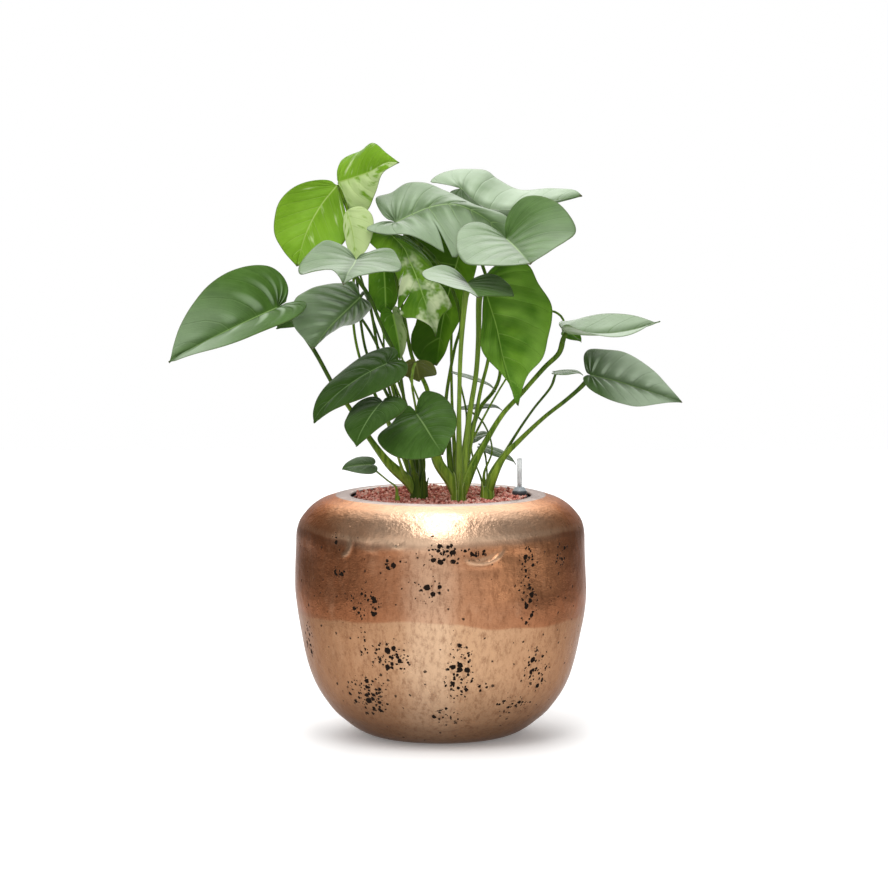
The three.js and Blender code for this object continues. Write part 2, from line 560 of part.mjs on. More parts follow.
// Plantlets. Each has a post in the granules and its stalks, from the post to a leaf.
// A stalk is its leaf, its radius at the base and at the leaf, and points on the picture.
const PLANTLETS = {
  stalks_left: {
    post: [-27, 8, 11],
    stalks: [
      ['leaf_far_left', 6.5, 2.7, [-41, 318, 4], [-64, 339, 4], [-86, 367, 5], [-116, 412, 6],
        [-131, 432, 6], [-161, 485, -4], [-197, 532, -12]],
      ['leaf_pale_left', 4, 2.4, [-36, 340, 4], [-46, 420, 0], [-56, 474, -6], [-74, 512, -12],
        [-90, 549, -14], [-108, 578, -14], [-108, 588, -16]],
      ['leaf_under_left', 3.4, 2, [-40, 345, 14], [-64, 430, 24], [-78, 480, 28], [-86, 525, 28],
        [-91, 546, 15], [-96, 553, 0]],
      ['leaf_behind_left', 3, 1.8, [-34, 350, 22], [-60, 440, 46], [-92, 510, 68], [-122, 546, 76]],
      ['leaf_top_left', 3.6, 1.9, [-42, 340, 10], [-84, 430, 32], [-101, 471, 40], [-109, 512, 42],
        [-109, 560, 40], [-109, 608, 42], [-114, 647, 50], [-127, 684, 54]],
      ['leaf_top_crown', 3.6, 1.9, [-30, 345, 22], [-74, 440, 46], [-92, 476, 54], [-100, 516, 62],
        [-104, 560, 66], [-108, 612, 70], [-114, 650, 73], [-124, 683, 73]],
      ['leaf_young_yellow', 2.8, 1.4, [-26, 350, 12], [-56, 450, 34], [-78, 500, 34],
        [-96, 560, 30], [-108, 600, 28], [-114, 640, 30]],
      ['leaf_low_left', 3.2, 2, [-34, 330, 0], [-50, 390, -14], [-62, 440, -32], [-67, 458, -42]],
      ['leaf_low_round', 2.8, 1.6, [-44, 322, -2], [-60, 370, -20], [-70, 400, -44],
        [-74, 411, -60]],
      ['leaf_bright_hanging', 2.4, 1.4, [-22, 350, 14], [-58, 440, 30], [-70, 476, 30],
        [-71, 527, 40], [-72, 560, 40], [-73, 588, 33]],
      ['leaf_low_front', 2.8, 1.7, [-24, 335, 4], [-32, 372, 0], [-34, 392, -10]],
      ['leaf_olive', 2.8, 1.6, [-24, 340, 8], [-30, 400, 4], [-36, 440, -22], [-34, 460, -36]],
    ],
  },
  stalks_middle: {
    post: [22, -18, 9.5],
    stalks: [
      ['leaf_pale_centre', 5, 3.2, [23, 330, -20], [23, 410, -26], [25, 482, -34], [30, 540, -44]],
      ['leaf_hanging_right', 6, 3.6, [28, 332, -14], [36, 400, -8], [44, 451, -4],
        [47, 494, -2], [48, 545, -4], [51, 560, -12]],
      ['leaf_shoulder_right', 4, 2.6, [32, 340, -8], [44, 400, -2], [50, 432, 2], [59, 468, 6],
        [70, 540, 6], [81, 608, -2]],
      ['leaf_upper_right', 4, 2.4, [30, 350, 4], [50, 410, 24], [66, 430, 40], [74, 451, 50],
        [66, 540, 92], [38, 630, 126], [29, 672, 130]],
      ['leaf_upper_middle', 3.6, 2.4, [12, 338, -12], [10, 367, -6], [6, 410, 6], [17, 482, 26],
        [25, 516, 34], [8, 572, 40], [-12, 600, 36], [-52, 634, 30]],
      ['leaf_split_young', 6.5, 2.2, [12, 318, -20], [-5, 345, -20], [-11, 382, -8],
        [-17, 432, 6], [-35, 470, 18], [-46, 524, 18], [-55, 569, 20], [-60, 618, 22]],
      ['leaf_dark_middle', 3.2, 2, [18, 345, 0], [14, 420, 24], [14, 520, 68], [20, 575, 78],
        [23, 592, 76]],
      ['leaf_right_upper', 6.5, 3, [36, 328, -14], [58, 370, -8], [78, 402, -6], [99, 425, -8],
        [130, 460, -12], [148, 478, -16], [153, 495, -19]],
      ['leaf_sliver', 2.6, 1.3, [20, 322, 0], [50, 390, 22], [72, 430, 30], [84, 450, 32],
        [110, 506, 34], [136, 530, 30], [150, 524, 24], [156, 510, 21]],
      ['leaf_tiny_middle', 2.4, 1.3, [26, 345, 6], [32, 400, 34], [24, 440, 42], [22, 449, 39]],
      ['leaf_two_tone', 2.4, 1.4, [6, 330, -4], [-20, 400, 16], [-48, 470, 24], [-62, 516, 20],
        [-61, 523, 14]],
    ],
  },
  stalks_right: {
    post: [58, 6, 9],
    stalks: [
      ['leaf_right_lower', 6.5, 2.5, [64, 320, 4], [78, 347, 4], [98, 368, 2], [130, 398, -4],
        [158, 420, -8], [178, 438, -11]],
      ['leaf_tiny_right', 4, 1.5, [66, 326, 10], [78, 349, 12], [98, 382, 10], [116, 408, 6],
        [138, 436, -6], [143, 450, -14]],
      ['leaf_back_pale', 2.2, 1.2, [50, 322, 26], [40, 348, 56], [37, 366, 65]],
      ['leaf_back_low', 2.2, 1.2, [58, 322, 26], [56, 348, 54], [54, 357, 60]],
      ['leaf_edge_on', 2.2, 1.2, [54, 326, 14], [64, 356, 24], [52, 392, 50], [34, 407, 58]],
    ],
  },
  stalk_tiny: {
    post: [-54, -16, 3.2],
    stalks: [
      ['leaf_tiny_left', 2.2, 1.2, [-56, 310, -16], [-66, 318, -17], [-77, 327, -18],
        [-85, 334, -19]],
    ],
  },
};

const sheets = new Map();
for (const [name, leaf] of Object.entries(LEAVES)) {
  sheets.set(name, bladeSheet(leaf));
}

const stalkEnd = (name) => LEAVES[name].attach ?? LEAVES[name].rib[0];

function stalksOf(name, { post, stalks }) {
  const [x, y, radius] = post;
  const collar = radius > 6 ? 12 : 3;
  const pieces = [
    cylinder(x, y, POST_BOTTOM, SOIL_TOP + 2.4, radius, 20),
    Manifold.cylinder(collar, radius, radius * 0.7, 20).translate([x, y, SOIL_TOP + 2.4]),
  ];
  for (const [leaf, baseRadius, endRadius, ...seen] of stalks) {
    const first = front(seen[0]);
    const start = new THREE.Vector3(mix(x, first.x, 0.3), mix(y, first.y, 0.3), SOIL_TOP + collar / 2);
    const path = [start, ...seen.map(front)];
    const end = front(stalkEnd(leaf));
    const back = path[path.length - 1].clone().sub(end).setLength(1.1);
    path.push(end.add(back));
    const sides = baseRadius > 4 ? 7 : 5;
    const steps = seen.length > 5 ? 10 : 7;
    pieces.push(stalkSolid(path, baseRadius, endRadius, sides, steps));
  }
  let bundle = Manifold.union(pieces);
  for (const sheet of sheets.values()) {
    for (const grow of [0, STALK_GAP]) {
      const grown = thicken(sheet, BLADE_THICKNESS + 2 * STALK_GAP, grow);
      bundle = bundle.subtract(solidFrom(grown.points, grown.faces));
    }
  }
  return largestBody(bundle, name);
}

// Pot, riser and culture pot, as round profiles
const POT_PROFILE = [
  [0, 0], [66, 0], [82, 1], [95, 4.6], [108, 11], [122, 21.5], [134, 32], [144, 44.5], [152, 56.5],
  [159, 70], [165, 86], [170, 104], [175.5, 130], [180, 154], [182.4, 180], [182, 205],
  [181, 238], [180.2, 257], [176.5, 270], [170, 279.5], [162, 288], [150, 296], [140, 299.6],
  [131, 302.4], [122, POT_HEIGHT], [113.4, 302.4], [OPENING_RADIUS, 300], [113.4, 292],
  [118, 291], [134, 296], [148, 291], [165, 279], [176.6, 256], [178.8, 180], [170, 120],
  [148.6, 57], [106, 15.6], [60, 5], [0, 5],
];
const RISER_PROFILE = [
  [52, 5.4], [58, 5.4], [84, CULTURE_BASE - 0.4], [78, CULTURE_BASE - 0.4], [52, 5.4],
];
const CULTURE_PROFILE = [
  [0, CULTURE_BASE], [CULTURE_BASE_RADIUS, CULTURE_BASE], [CULTURE_RADIUS - 1, CULTURE_TOP - 4],
  [CULTURE_RADIUS + 1.6, CULTURE_TOP - 4], [CULTURE_RADIUS + 1.6, CULTURE_TOP],
  [CULTURE_RADIUS - CULTURE_WALL, CULTURE_TOP],
  [CULTURE_RADIUS - CULTURE_WALL - 1, CULTURE_TOP - 5],
  [CULTURE_BASE_RADIUS - CULTURE_WALL, CULTURE_BASE + 2], [0, CULTURE_BASE + 2],
];

// Granules fill the culture pot up to an uneven top, with plain holes for what stands in them
function granuleBed() {
  const sides = 36;
  const rings = [26, 52, 76, 96, 106];
  const points = [];
  const faces = [];
  const height = (x, y) => SOIL_TOP + 0.9 * Math.sin(x * 0.31 + y * 0.11) + 0.9 * Math.sin(y * 0.37 - x * 0.17);
  const ring = (radius, heightAt) => {
    for (let k = 0; k < sides; k += 1) {
      const angle = (2 * Math.PI * k) / sides;
      const x = radius * Math.cos(angle);
      const y = radius * Math.sin(angle);
      points.push(new THREE.Vector3(x, y, heightAt(x, y)));
    }
  };
  points.push(new THREE.Vector3(0, 0, CULTURE_BASE + 2 + CLEARANCE));
  ring(CULTURE_BASE_RADIUS - CULTURE_WALL - CLEARANCE, () => CULTURE_BASE + 2 + CLEARANCE);
  for (const radius of [...rings].reverse()) ring(radius, height);
  points.push(new THREE.Vector3(0, 0, height(0, 0)));
  const ringCount = rings.length + 1;
  const top = points.length - 1;
  for (let k = 0; k < sides; k += 1) {
    const next = (k + 1) % sides;
    faces.push([0, 1 + next, 1 + k]);
    for (let r = 0; r + 1 < ringCount; r += 1) {
      const a = 1 + r * sides;
      const b = a + sides;
      faces.push([a + k, a + next, b + next], [a + k, b + next, b + k]);
    }
    const last = 1 + (ringCount - 1) * sides;
    faces.push([top, last + k, last + next]);
  }
  let bed = solidFrom(points, faces);
  for (const { post: [x, y, radius] } of Object.values(PLANTLETS)) {
    const hole = cylinder(x, y, POST_BOTTOM - CLEARANCE, SOIL_TOP + 40, radius + CLEARANCE, 20);
    bed = bed.subtract(hole);
  }
  const [gx, gy] = GAUGE_AT;
  const bore = GAUGE_STEM_RADIUS + CLEARANCE;
  return bed.subtract(cylinder(gx, gy, GAUGE_STEM_BOTTOM - CLEARANCE, SOIL_TOP + 40, bore, 20));
}

function gaugePieces() {
  const [x, y] = GAUGE_AT;
  const stem = cylinder(x, y, GAUGE_STEM_BOTTOM, CULTURE_TOP + 0.8, GAUGE_STEM_RADIUS, 20);
  const skirt = Manifold.cylinder(8.4, GAUGE_HEAD_RADIUS, GAUGE_HEAD_RADIUS - 0.6, 24);
  const dome = Manifold.cylinder(4.4, GAUGE_HEAD_RADIUS - 1.2, 5.2, 24);
  const head = skirt.translate([x, y, CULTURE_TOP + 0.6])
    .add(dome.translate([x, y, CULTURE_TOP + 9]))
    .add(stem)
    .subtract(cylinder(x, y, CULTURE_TOP + 2, GAUGE_TOP, 3.3, 20));
  const tube = cylinder(x, y, CULTURE_TOP + 2.4, GAUGE_TOP, 3, 20)
    .subtract(cylinder(x, y, CULTURE_TOP + 2.3, GAUGE_TOP - 1, 2.2, 20));
  const needle = cylinder(x, y, CULTURE_TOP + 2.4, CULTURE_TOP + 18, 1.3, 12);
  return { head, tube, needle };
}

function material(name, color, extra = {}) {
  return new THREE.MeshStandardMaterial({ name, color, roughness: 0.6, ...extra });
}

const object = new THREE.Group();
object.name = 'potted_swiss_cheese_plant';
function add(name, geometry, look) {
  const mesh = new THREE.Mesh(geometry, look);
  mesh.name = name;
  object.add(mesh);
}

const gauge = gaugePieces();
add('pot', lathe(POT_PROFILE, POT_SEGMENTS), material('bronze', 0xb07a4c, { metalness: 0.8, roughness: 0.35 }));
add('riser', lathe(RISER_PROFILE, 32), material('riser_plastic', 0x2a2a2c));
add('culture_pot', lathe(CULTURE_PROFILE, 36), material('culture_plastic', 0x1e1e20));
add('granules', geometryOf(granuleBed()), material('clay_granules', 0x9a4a36, { roughness: 0.95 }));
add('gauge_head', geometryOf(gauge.head), material('gauge_plastic', 0x2c2f33));
add('gauge_tube', geometryOf(gauge.tube), material('gauge_clear', 0xe8ecec, { transparent: true, opacity: 0.5 }));
add('gauge_needle', geometryOf(gauge.needle), material('gauge_float', 0x7a2420));
for (const [name, plantlet] of Object.entries(PLANTLETS)) {
  add(name, geometryOf(stalksOf(name, plantlet)), material(`${name}_green`, 0x55802f));
}
for (const [name, leaf] of Object.entries(LEAVES)) {
  const blade = thicken(sheets.get(name), BLADE_THICKNESS);
  add(name, geometryFrom(blade.points, blade.faces), material(`${name}_green`, leaf.colour));
}

export default object;
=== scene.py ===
# Swiss cheese plant in a bronze pot: the looks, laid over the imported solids.
import json
import math
import bpy
import numpy as np
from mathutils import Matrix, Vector

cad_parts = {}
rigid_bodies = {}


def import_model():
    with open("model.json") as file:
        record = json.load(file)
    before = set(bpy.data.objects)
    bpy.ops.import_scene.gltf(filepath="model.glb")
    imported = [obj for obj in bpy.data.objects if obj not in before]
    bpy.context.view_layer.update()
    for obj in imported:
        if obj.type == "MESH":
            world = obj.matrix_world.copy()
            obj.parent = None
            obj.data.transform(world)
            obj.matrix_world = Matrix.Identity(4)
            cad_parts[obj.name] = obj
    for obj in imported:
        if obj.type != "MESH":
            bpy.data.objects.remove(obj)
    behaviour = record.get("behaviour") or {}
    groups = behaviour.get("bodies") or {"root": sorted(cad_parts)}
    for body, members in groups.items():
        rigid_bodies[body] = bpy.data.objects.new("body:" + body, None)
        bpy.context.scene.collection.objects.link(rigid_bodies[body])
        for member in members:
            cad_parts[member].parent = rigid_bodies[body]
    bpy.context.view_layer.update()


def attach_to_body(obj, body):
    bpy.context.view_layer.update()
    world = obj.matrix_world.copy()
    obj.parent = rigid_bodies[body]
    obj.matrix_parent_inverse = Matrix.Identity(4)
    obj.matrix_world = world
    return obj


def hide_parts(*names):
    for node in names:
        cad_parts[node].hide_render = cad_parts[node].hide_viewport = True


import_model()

MM = 0.001
RNG = np.random.default_rng(11)

# Same numbers as the solids, in millimetres
SOIL_TOP = 297.5
CULTURE_TOP = 299
GAUGE_AT = (98.6, -1.0)
GAUGE_TOP = 348
POST_BOTTOM = 232
BLADE_THICKNESS = 0.8
# How far the side veins bend toward the tip, as a share of the blade
VEIN_BEND = 0.06
# Rows, columns of each half, and side veins of a large and of a small leaf
LARGE_LEAF, SMALL_LEAF = (72, 18, 9), (44, 11, 7)
# Where the colour changes across the midrib, in mm
MIDRIB_EDGE = (-1.5, 1.5)
# Grains in the bed, their half size in mm, and how far out they and the flat bed reach
GRAIN_COUNT = 3200
GRAIN_SIZES = (1.3, 2.3)
BED_RADIUS = 107.5
FLAT_RADIUS = 104.5
BED_HEIGHT = 296.4
BANK_HEIGHT = 5.0
BED_PROFILE = [(94, 111.4), (105.6, 293.6), (106, 296.2), (88, 296.0), (60, 296.4), (30, 295.8),
               (4, 296.2)]
# Pot: columns in front and behind, rows outside, and cells of the pits to a metre
POT_COLUMNS = (270, 130)
POT_ROWS = 206
PIT_SCALES = (125.0, 230.0)

# The photograph's camera, so that leaves are placed by what is seen
EYE = np.array([4.0, -5000.0, 856.0])
AIM = np.array([4.0, 0.0, 367.0])
AIM_UP = 365
TILT = 0.0977
VIEW_UP = np.array([0.0, math.sin(TILT), math.cos(TILT)])

# Leaves and stalks, as in the solids: points are [across, up, depth] on the picture, in mm.
# A drawn leaf has its midrib and both margins; a shaped one has its ends, width and folds.
LEAVES = {
    "leaf_top_left": {"rib": [[-130, 687, 42], [-150, 662, 36], [-168, 628, 20], [-180, 586, 2]],
        "left": [[-124, 670, 42], [-118, 645, 36], [-119, 620, 26], [-138, 600, 12],
        [-160, 592, 4]], "right": [[-138, 693, 44], [-154, 694, 42], [-184, 685, 34],
        [-204, 662, 20], [-208, 629, 8], [-198, 607, 2]], "swell": -6},
    "leaf_top_crown": {"rib": [[-128, 691, 64], [-109, 697, 54], [-89, 704, 42], [-67, 716, 26],
        [-52, 716, 14]], "left": [[-128, 702, 76], [-125, 717, 84], [-100, 731, 78], [-84, 740, 60],
        [-67, 727, 34]], "right": [[-123, 680, 62], [-118, 658, 58], [-106, 652, 52],
        [-92, 656, 44], [-82, 677, 34], [-72, 703, 22]], "swell": 5},
    "leaf_far_left": {"attach": [-205, 534, -20], "tip": [-340, 466, -50], "face": [-0.1, -1, 0.35],
        "width": 138, "foldL": 59, "foldR": 4, "edge": -8, "arch": 0.3, "droop": 0.3},
    "leaf_pale_left": {"rib": [[-106, 594, -20], [-109, 588, -60], [-115, 579, -110],
        [-122, 563, -150]], "left": [[-100, 601, -15], [-89, 604, -12], [-76, 608, -9],
        [-61, 607, -20], [-53, 596, -44], [-50, 582, -76], [-69, 579, -104], [-88, 577, -124],
        [-106, 573, -140]], "right": [[-111, 602, -15], [-115, 607, -12], [-127, 614, -10],
        [-142, 618, -16], [-153, 614, -30], [-164, 604, -50], [-178, 584, -80], [-174, 576, -100],
        [-153, 581, -118], [-136, 582, -132], [-127, 573, -142]], "swell": 3},
    "leaf_under_left": {"rib": [[-101, 547, -18], [-120, 529, -34], [-139, 510, -42],
        [-160, 483, -48]], "left": [[-92, 543, -4], [-87, 535, 8], [-98, 521, 16], [-111, 514, 12],
        [-130, 508, -8], [-145, 497, -28]], "right": [[-104, 558, -8], [-110, 567, -2],
        [-121, 565, 2], [-135, 565, 2], [-152, 561, -2], [-168, 555, -8], [-181, 547, -16],
        [-186, 530, -24], [-184, 512, -34], [-170, 494, -44]], "swell": 4},
    "leaf_behind_left": {"attach": [-128, 545, 70], "tip": [-206, 508, 52],
        "face": [-0.1, -0.75, 0.6], "width": 56, "foldL": 4, "foldR": 4, "arch": 0.4, "droop": 0.3,
        "small": True},
    "leaf_upper_middle": {"rib": [[-56, 641, 22], [-36, 651, 30], [-14, 660, 38], [12, 664, 46],
        [30, 660, 50], [54, 647, 56], [71, 633, 60], [84, 618, 62]], "left": [[-68, 646, 30],
        [-77, 657, 46], [-81, 672, 60], [-61, 678, 72], [-41, 690, 84], [-18, 691, 88],
        [5, 680, 84], [42, 664, 80], [84, 646, 74], [88, 630, 68]], "right": [[-74, 642, 15],
        [-93, 633, 4], [-68, 626, -8], [-41, 625, -14], [-14, 615, -16], [18, 597, -12],
        [30, 616, 8], [46, 614, 22], [68, 606, 44], [80, 608, 56]], "swell": 4, "rows": 13,
        "cuts": [{"side": -1, "row": 7, "from": 0.3, "to": 2, "gap": 6}, {"side": 1, "row": 9,
        "from": 0.3, "to": 0.7, "gap": 3}]},
    "leaf_upper_right": {"rib": [[26, 683, 118], [39, 668, 108], [61, 658, 102], [84, 656, 100],
        [118, 662, 100], [147, 669, 104], [177, 674, 110]], "left": [[14, 688, 126], [-1, 690, 134],
        [-13, 692, 142], [-4, 700, 150], [12, 705, 158], [34, 708, 166], [57, 706, 168],
        [70, 695, 166], [95, 683, 158], [138, 683, 138], [168, 681, 118]], "right": [[13, 680, 112],
        [8, 672, 106], [21, 663, 100], [49, 651, 94], [84, 643, 92], [111, 652, 94],
        [139, 663, 98]], "swell": 3},
    "leaf_shoulder_right": {"rib": [[82, 620, -8], [93, 610, -60], [103, 599, -110],
        [112, 589, -150]], "left": [[80, 634, 0], [86, 655, 12], [102, 671, 18], [120, 674, 12],
        [144, 667, -6], [161, 649, -34], [169, 631, -60], [156, 617, -88], [138, 606, -116],
        [119, 594, -142]], "right": [[66, 632, 2], [49, 641, 6], [34, 639, -4], [21, 628, -26],
        [19, 617, -46], [20, 605, -66], [30, 591, -96], [49, 587, -118], [77, 587, -138]],
        "swell": 5},
    "leaf_hanging_right": {"rib": [[54, 566, -20], [58, 548, -36], [69, 512, -56], [78, 470, -70],
        [97, 411, -78]], "left": [[62, 582, -12], [84, 594, -10], [109, 588, -16], [122, 565, -26],
        [138, 538, -36], [139, 520, -42], [134, 496, -50], [127, 471, -58], [109, 450, -66],
        [101, 429, -74]], "right": [[49, 562, -22], [54, 546, -32], [52, 515, -44], [51, 484, -54],
        [57, 471, -60], [75, 453, -68], [86, 438, -72]], "swell": 3},
    "leaf_pale_centre": {"rib": [[33, 565, -50], [37, 560, -90], [43, 553, -135], [47, 547, -168]],
        "left": [[38, 567, -46], [46, 573, -39], [57, 576, -39], [72, 574, -50], [85, 563, -76],
        [91, 552, -104], [90, 548, -120], [72, 549, -138], [56, 549, -156]],
        "right": [[28, 570, -46], [19, 581, -41], [5, 587, -44], [-8, 586, -56], [-23, 578, -84],
        [-20, 572, -104], [-4, 565, -126], [17, 559, -146], [32, 555, -158]], "swell": 2},
    "leaf_split_young": {"rib": [[-61, 625, 16], [-46, 609, 12], [-40, 595, 6], [-32, 577, -4],
        [-22, 549, -18], [-16, 531, -26], [-6, 498, -38]], "left": [[-52, 624, 20], [-39, 620, 20],
        [-14, 592, 12], [-2, 569, 0], [12, 541, -14], [14, 536, -17], [1, 524, -26],
        [-4, 510, -34]], "right": [[-70, 632, 20], [-84, 630, 20], [-91, 620, 17], [-80, 607, 12],
        [-66, 590, 4], [-54, 570, -4], [-52, 528, -22], [-46, 522, -26], [-32, 521, -30],
        [-12, 510, -36]], "swell": 4, "rows": 13, "cuts": [{"side": 1, "row": 7, "from": 0.34,
        "to": 2, "gap": 3}, {"side": -1, "row": 7, "from": 0.34, "to": 2, "gap": 3}, {"side": -1,
        "row": 9, "from": 0.34, "to": 2, "gap": 2.4}]},
    "leaf_young_yellow": {"rib": [[-118, 655, 24], [-112, 635, 16], [-108, 612, 12],
        [-106, 592, 10]], "left": [[-108, 660, 23], [-97, 660, 20], [-86, 650, 16], [-84, 632, 12],
        [-92, 608, 10]], "right": [[-121, 648, 20], [-122, 635, 16], [-119, 618, 13],
        [-114, 602, 11]], "swell": 2, "small": True},
    "leaf_dark_middle": {"rib": [[24, 604, 68], [12, 560, 66], [2, 515, 56], [-5, 462, 38]],
        "left": [[30, 626, 68], [42, 616, 66], [46, 594, 62], [38, 560, 56], [29, 530, 50],
        [12, 496, 42], [5, 477, 39]], "right": [[16, 632, 68], [0, 650, 68], [-26, 648, 66],
        [-46, 630, 62], [-46, 600, 58], [-37, 560, 52], [-30, 520, 46], [-37, 500, 42],
        [-36, 482, 40], [-25, 467, 38]], "swell": 2, "small": True},
    "leaf_right_upper": {"attach": [157, 504, -20], "tip": [274, 518, -10],
        "face": [0.05, -0.08, 1], "width": 80, "foldL": 22, "foldR": 24, "edge": -10, "twist": 30,
        "arch": -0.6, "droop": 0, "lobe": 0.4},
    "leaf_right_lower": {"rib": [[187, 450, -14], [220, 442, -4], [255, 431, 8], [302, 416, 20]],
        "left": [[182, 454, -6], [179, 474, 12], [184, 481, 20], [194, 483, 27], [216, 481, 33],
        [229, 478, 36], [247, 470, 36], [266, 455, 32], [282, 439, 26]], "right": [[178, 447, -20],
        [182, 437, -28], [191, 429, -32], [210, 420, -32], [235, 412, -24], [248, 411, -16],
        [266, 413, -4], [286, 416, 10]], "swell": 4},
    "leaf_low_left": {"attach": [-68, 464, -46], "tip": [-159, 390, -52],
        "face": [-0.56, -0.49, 0.67], "width": 90, "foldL": 4, "foldR": 6, "edge": -16, "arch": 0.6,
        "droop": 0.4},
    "leaf_low_round": {"attach": [-75, 415, -72], "tip": [-106, 361, -132], "side": [34, 2],
        "foldL": 6, "foldR": 6, "arch": 0.4, "droop": 0.3, "small": True},
    "leaf_low_front": {"rib": [[-30, 401, -34], [-21, 388, -62], [-10, 370, -86], [3, 351, -104]],
        "left": [[-29, 417, -30], [-20, 430, -22], [-5, 428, -24], [7, 420, -34], [15, 410, -46],
        [20, 394, -62], [18, 380, -76], [12, 370, -90]], "right": [[-40, 412, -30], [-52, 402, -34],
        [-63, 388, -46], [-79, 372, -66], [-75, 362, -78], [-61, 350, -92], [-42, 345, -100],
        [-17, 346, -106]], "swell": 3},
    "leaf_olive": {"attach": [-31, 467, -36], "tip": [-27, 442, -8], "face": [0, 0.5, 0.8],
        "width": 54, "foldL": -12, "foldR": -12, "small": True},
    "leaf_tiny_left": {"attach": [-87, 338, -20], "tip": [-124, 332, -28],
        "face": [-0.1, -0.7, 0.65], "width": 29, "foldL": 8, "foldR": 8, "wave": 0.6,
        "small": True},
    "leaf_tiny_middle": {"attach": [22, 452, 38], "tip": [69, 429, 32], "face": [0.2, -0.05, 1],
        "width": 28, "foldL": 8, "foldR": 8, "wave": 0.6, "small": True},
    "leaf_tiny_right": {"attach": [145, 454, -16], "tip": [178, 450, -20], "face": [0, -0.15, 1],
        "width": 26, "foldL": 6, "foldR": 6, "wave": 0.6, "small": True},
    "leaf_back_pale": {"attach": [37, 370, 66], "tip": [62, 376, 60], "face": [0, -0.4, 0.9],
        "width": 24, "foldL": 6, "foldR": 6, "wave": 0.6, "small": True},
    "leaf_back_low": {"attach": [54, 360, 60], "tip": [94, 338, 62], "face": [0.3, -0.3, 0.9],
        "width": 26, "foldL": 6, "foldR": 6, "wave": 0.6, "small": True},
    "leaf_bright_hanging": {"attach": [-72, 592, 27], "tip": [-70, 523, 24], "face": [0.3, -1, 0.1],
        "width": 42, "foldL": -14, "foldR": -14, "belly": 0.5, "wave": 0.8, "small": True},
    "leaf_two_tone": {"attach": [-60, 526, 10], "tip": [-51, 468, 6], "face": [0.4, -1, 0.1],
        "width": 36, "foldL": -14, "foldR": -14, "wave": 0.8, "small": True},
    "leaf_sliver": {"attach": [156, 505, 20], "tip": [176, 491, 14], "face": [0, -0.5, 0.85],
        "width": 22, "foldL": 10, "foldR": 10, "lobe": 0.6, "wave": 0.6, "small": True},
    "leaf_edge_on": {"attach": [31, 410, 58], "tip": [77, 406, 50], "face": [0, -0.1, 1],
        "width": 32, "foldL": 8, "foldR": 8, "wave": 0.6, "small": True},
}

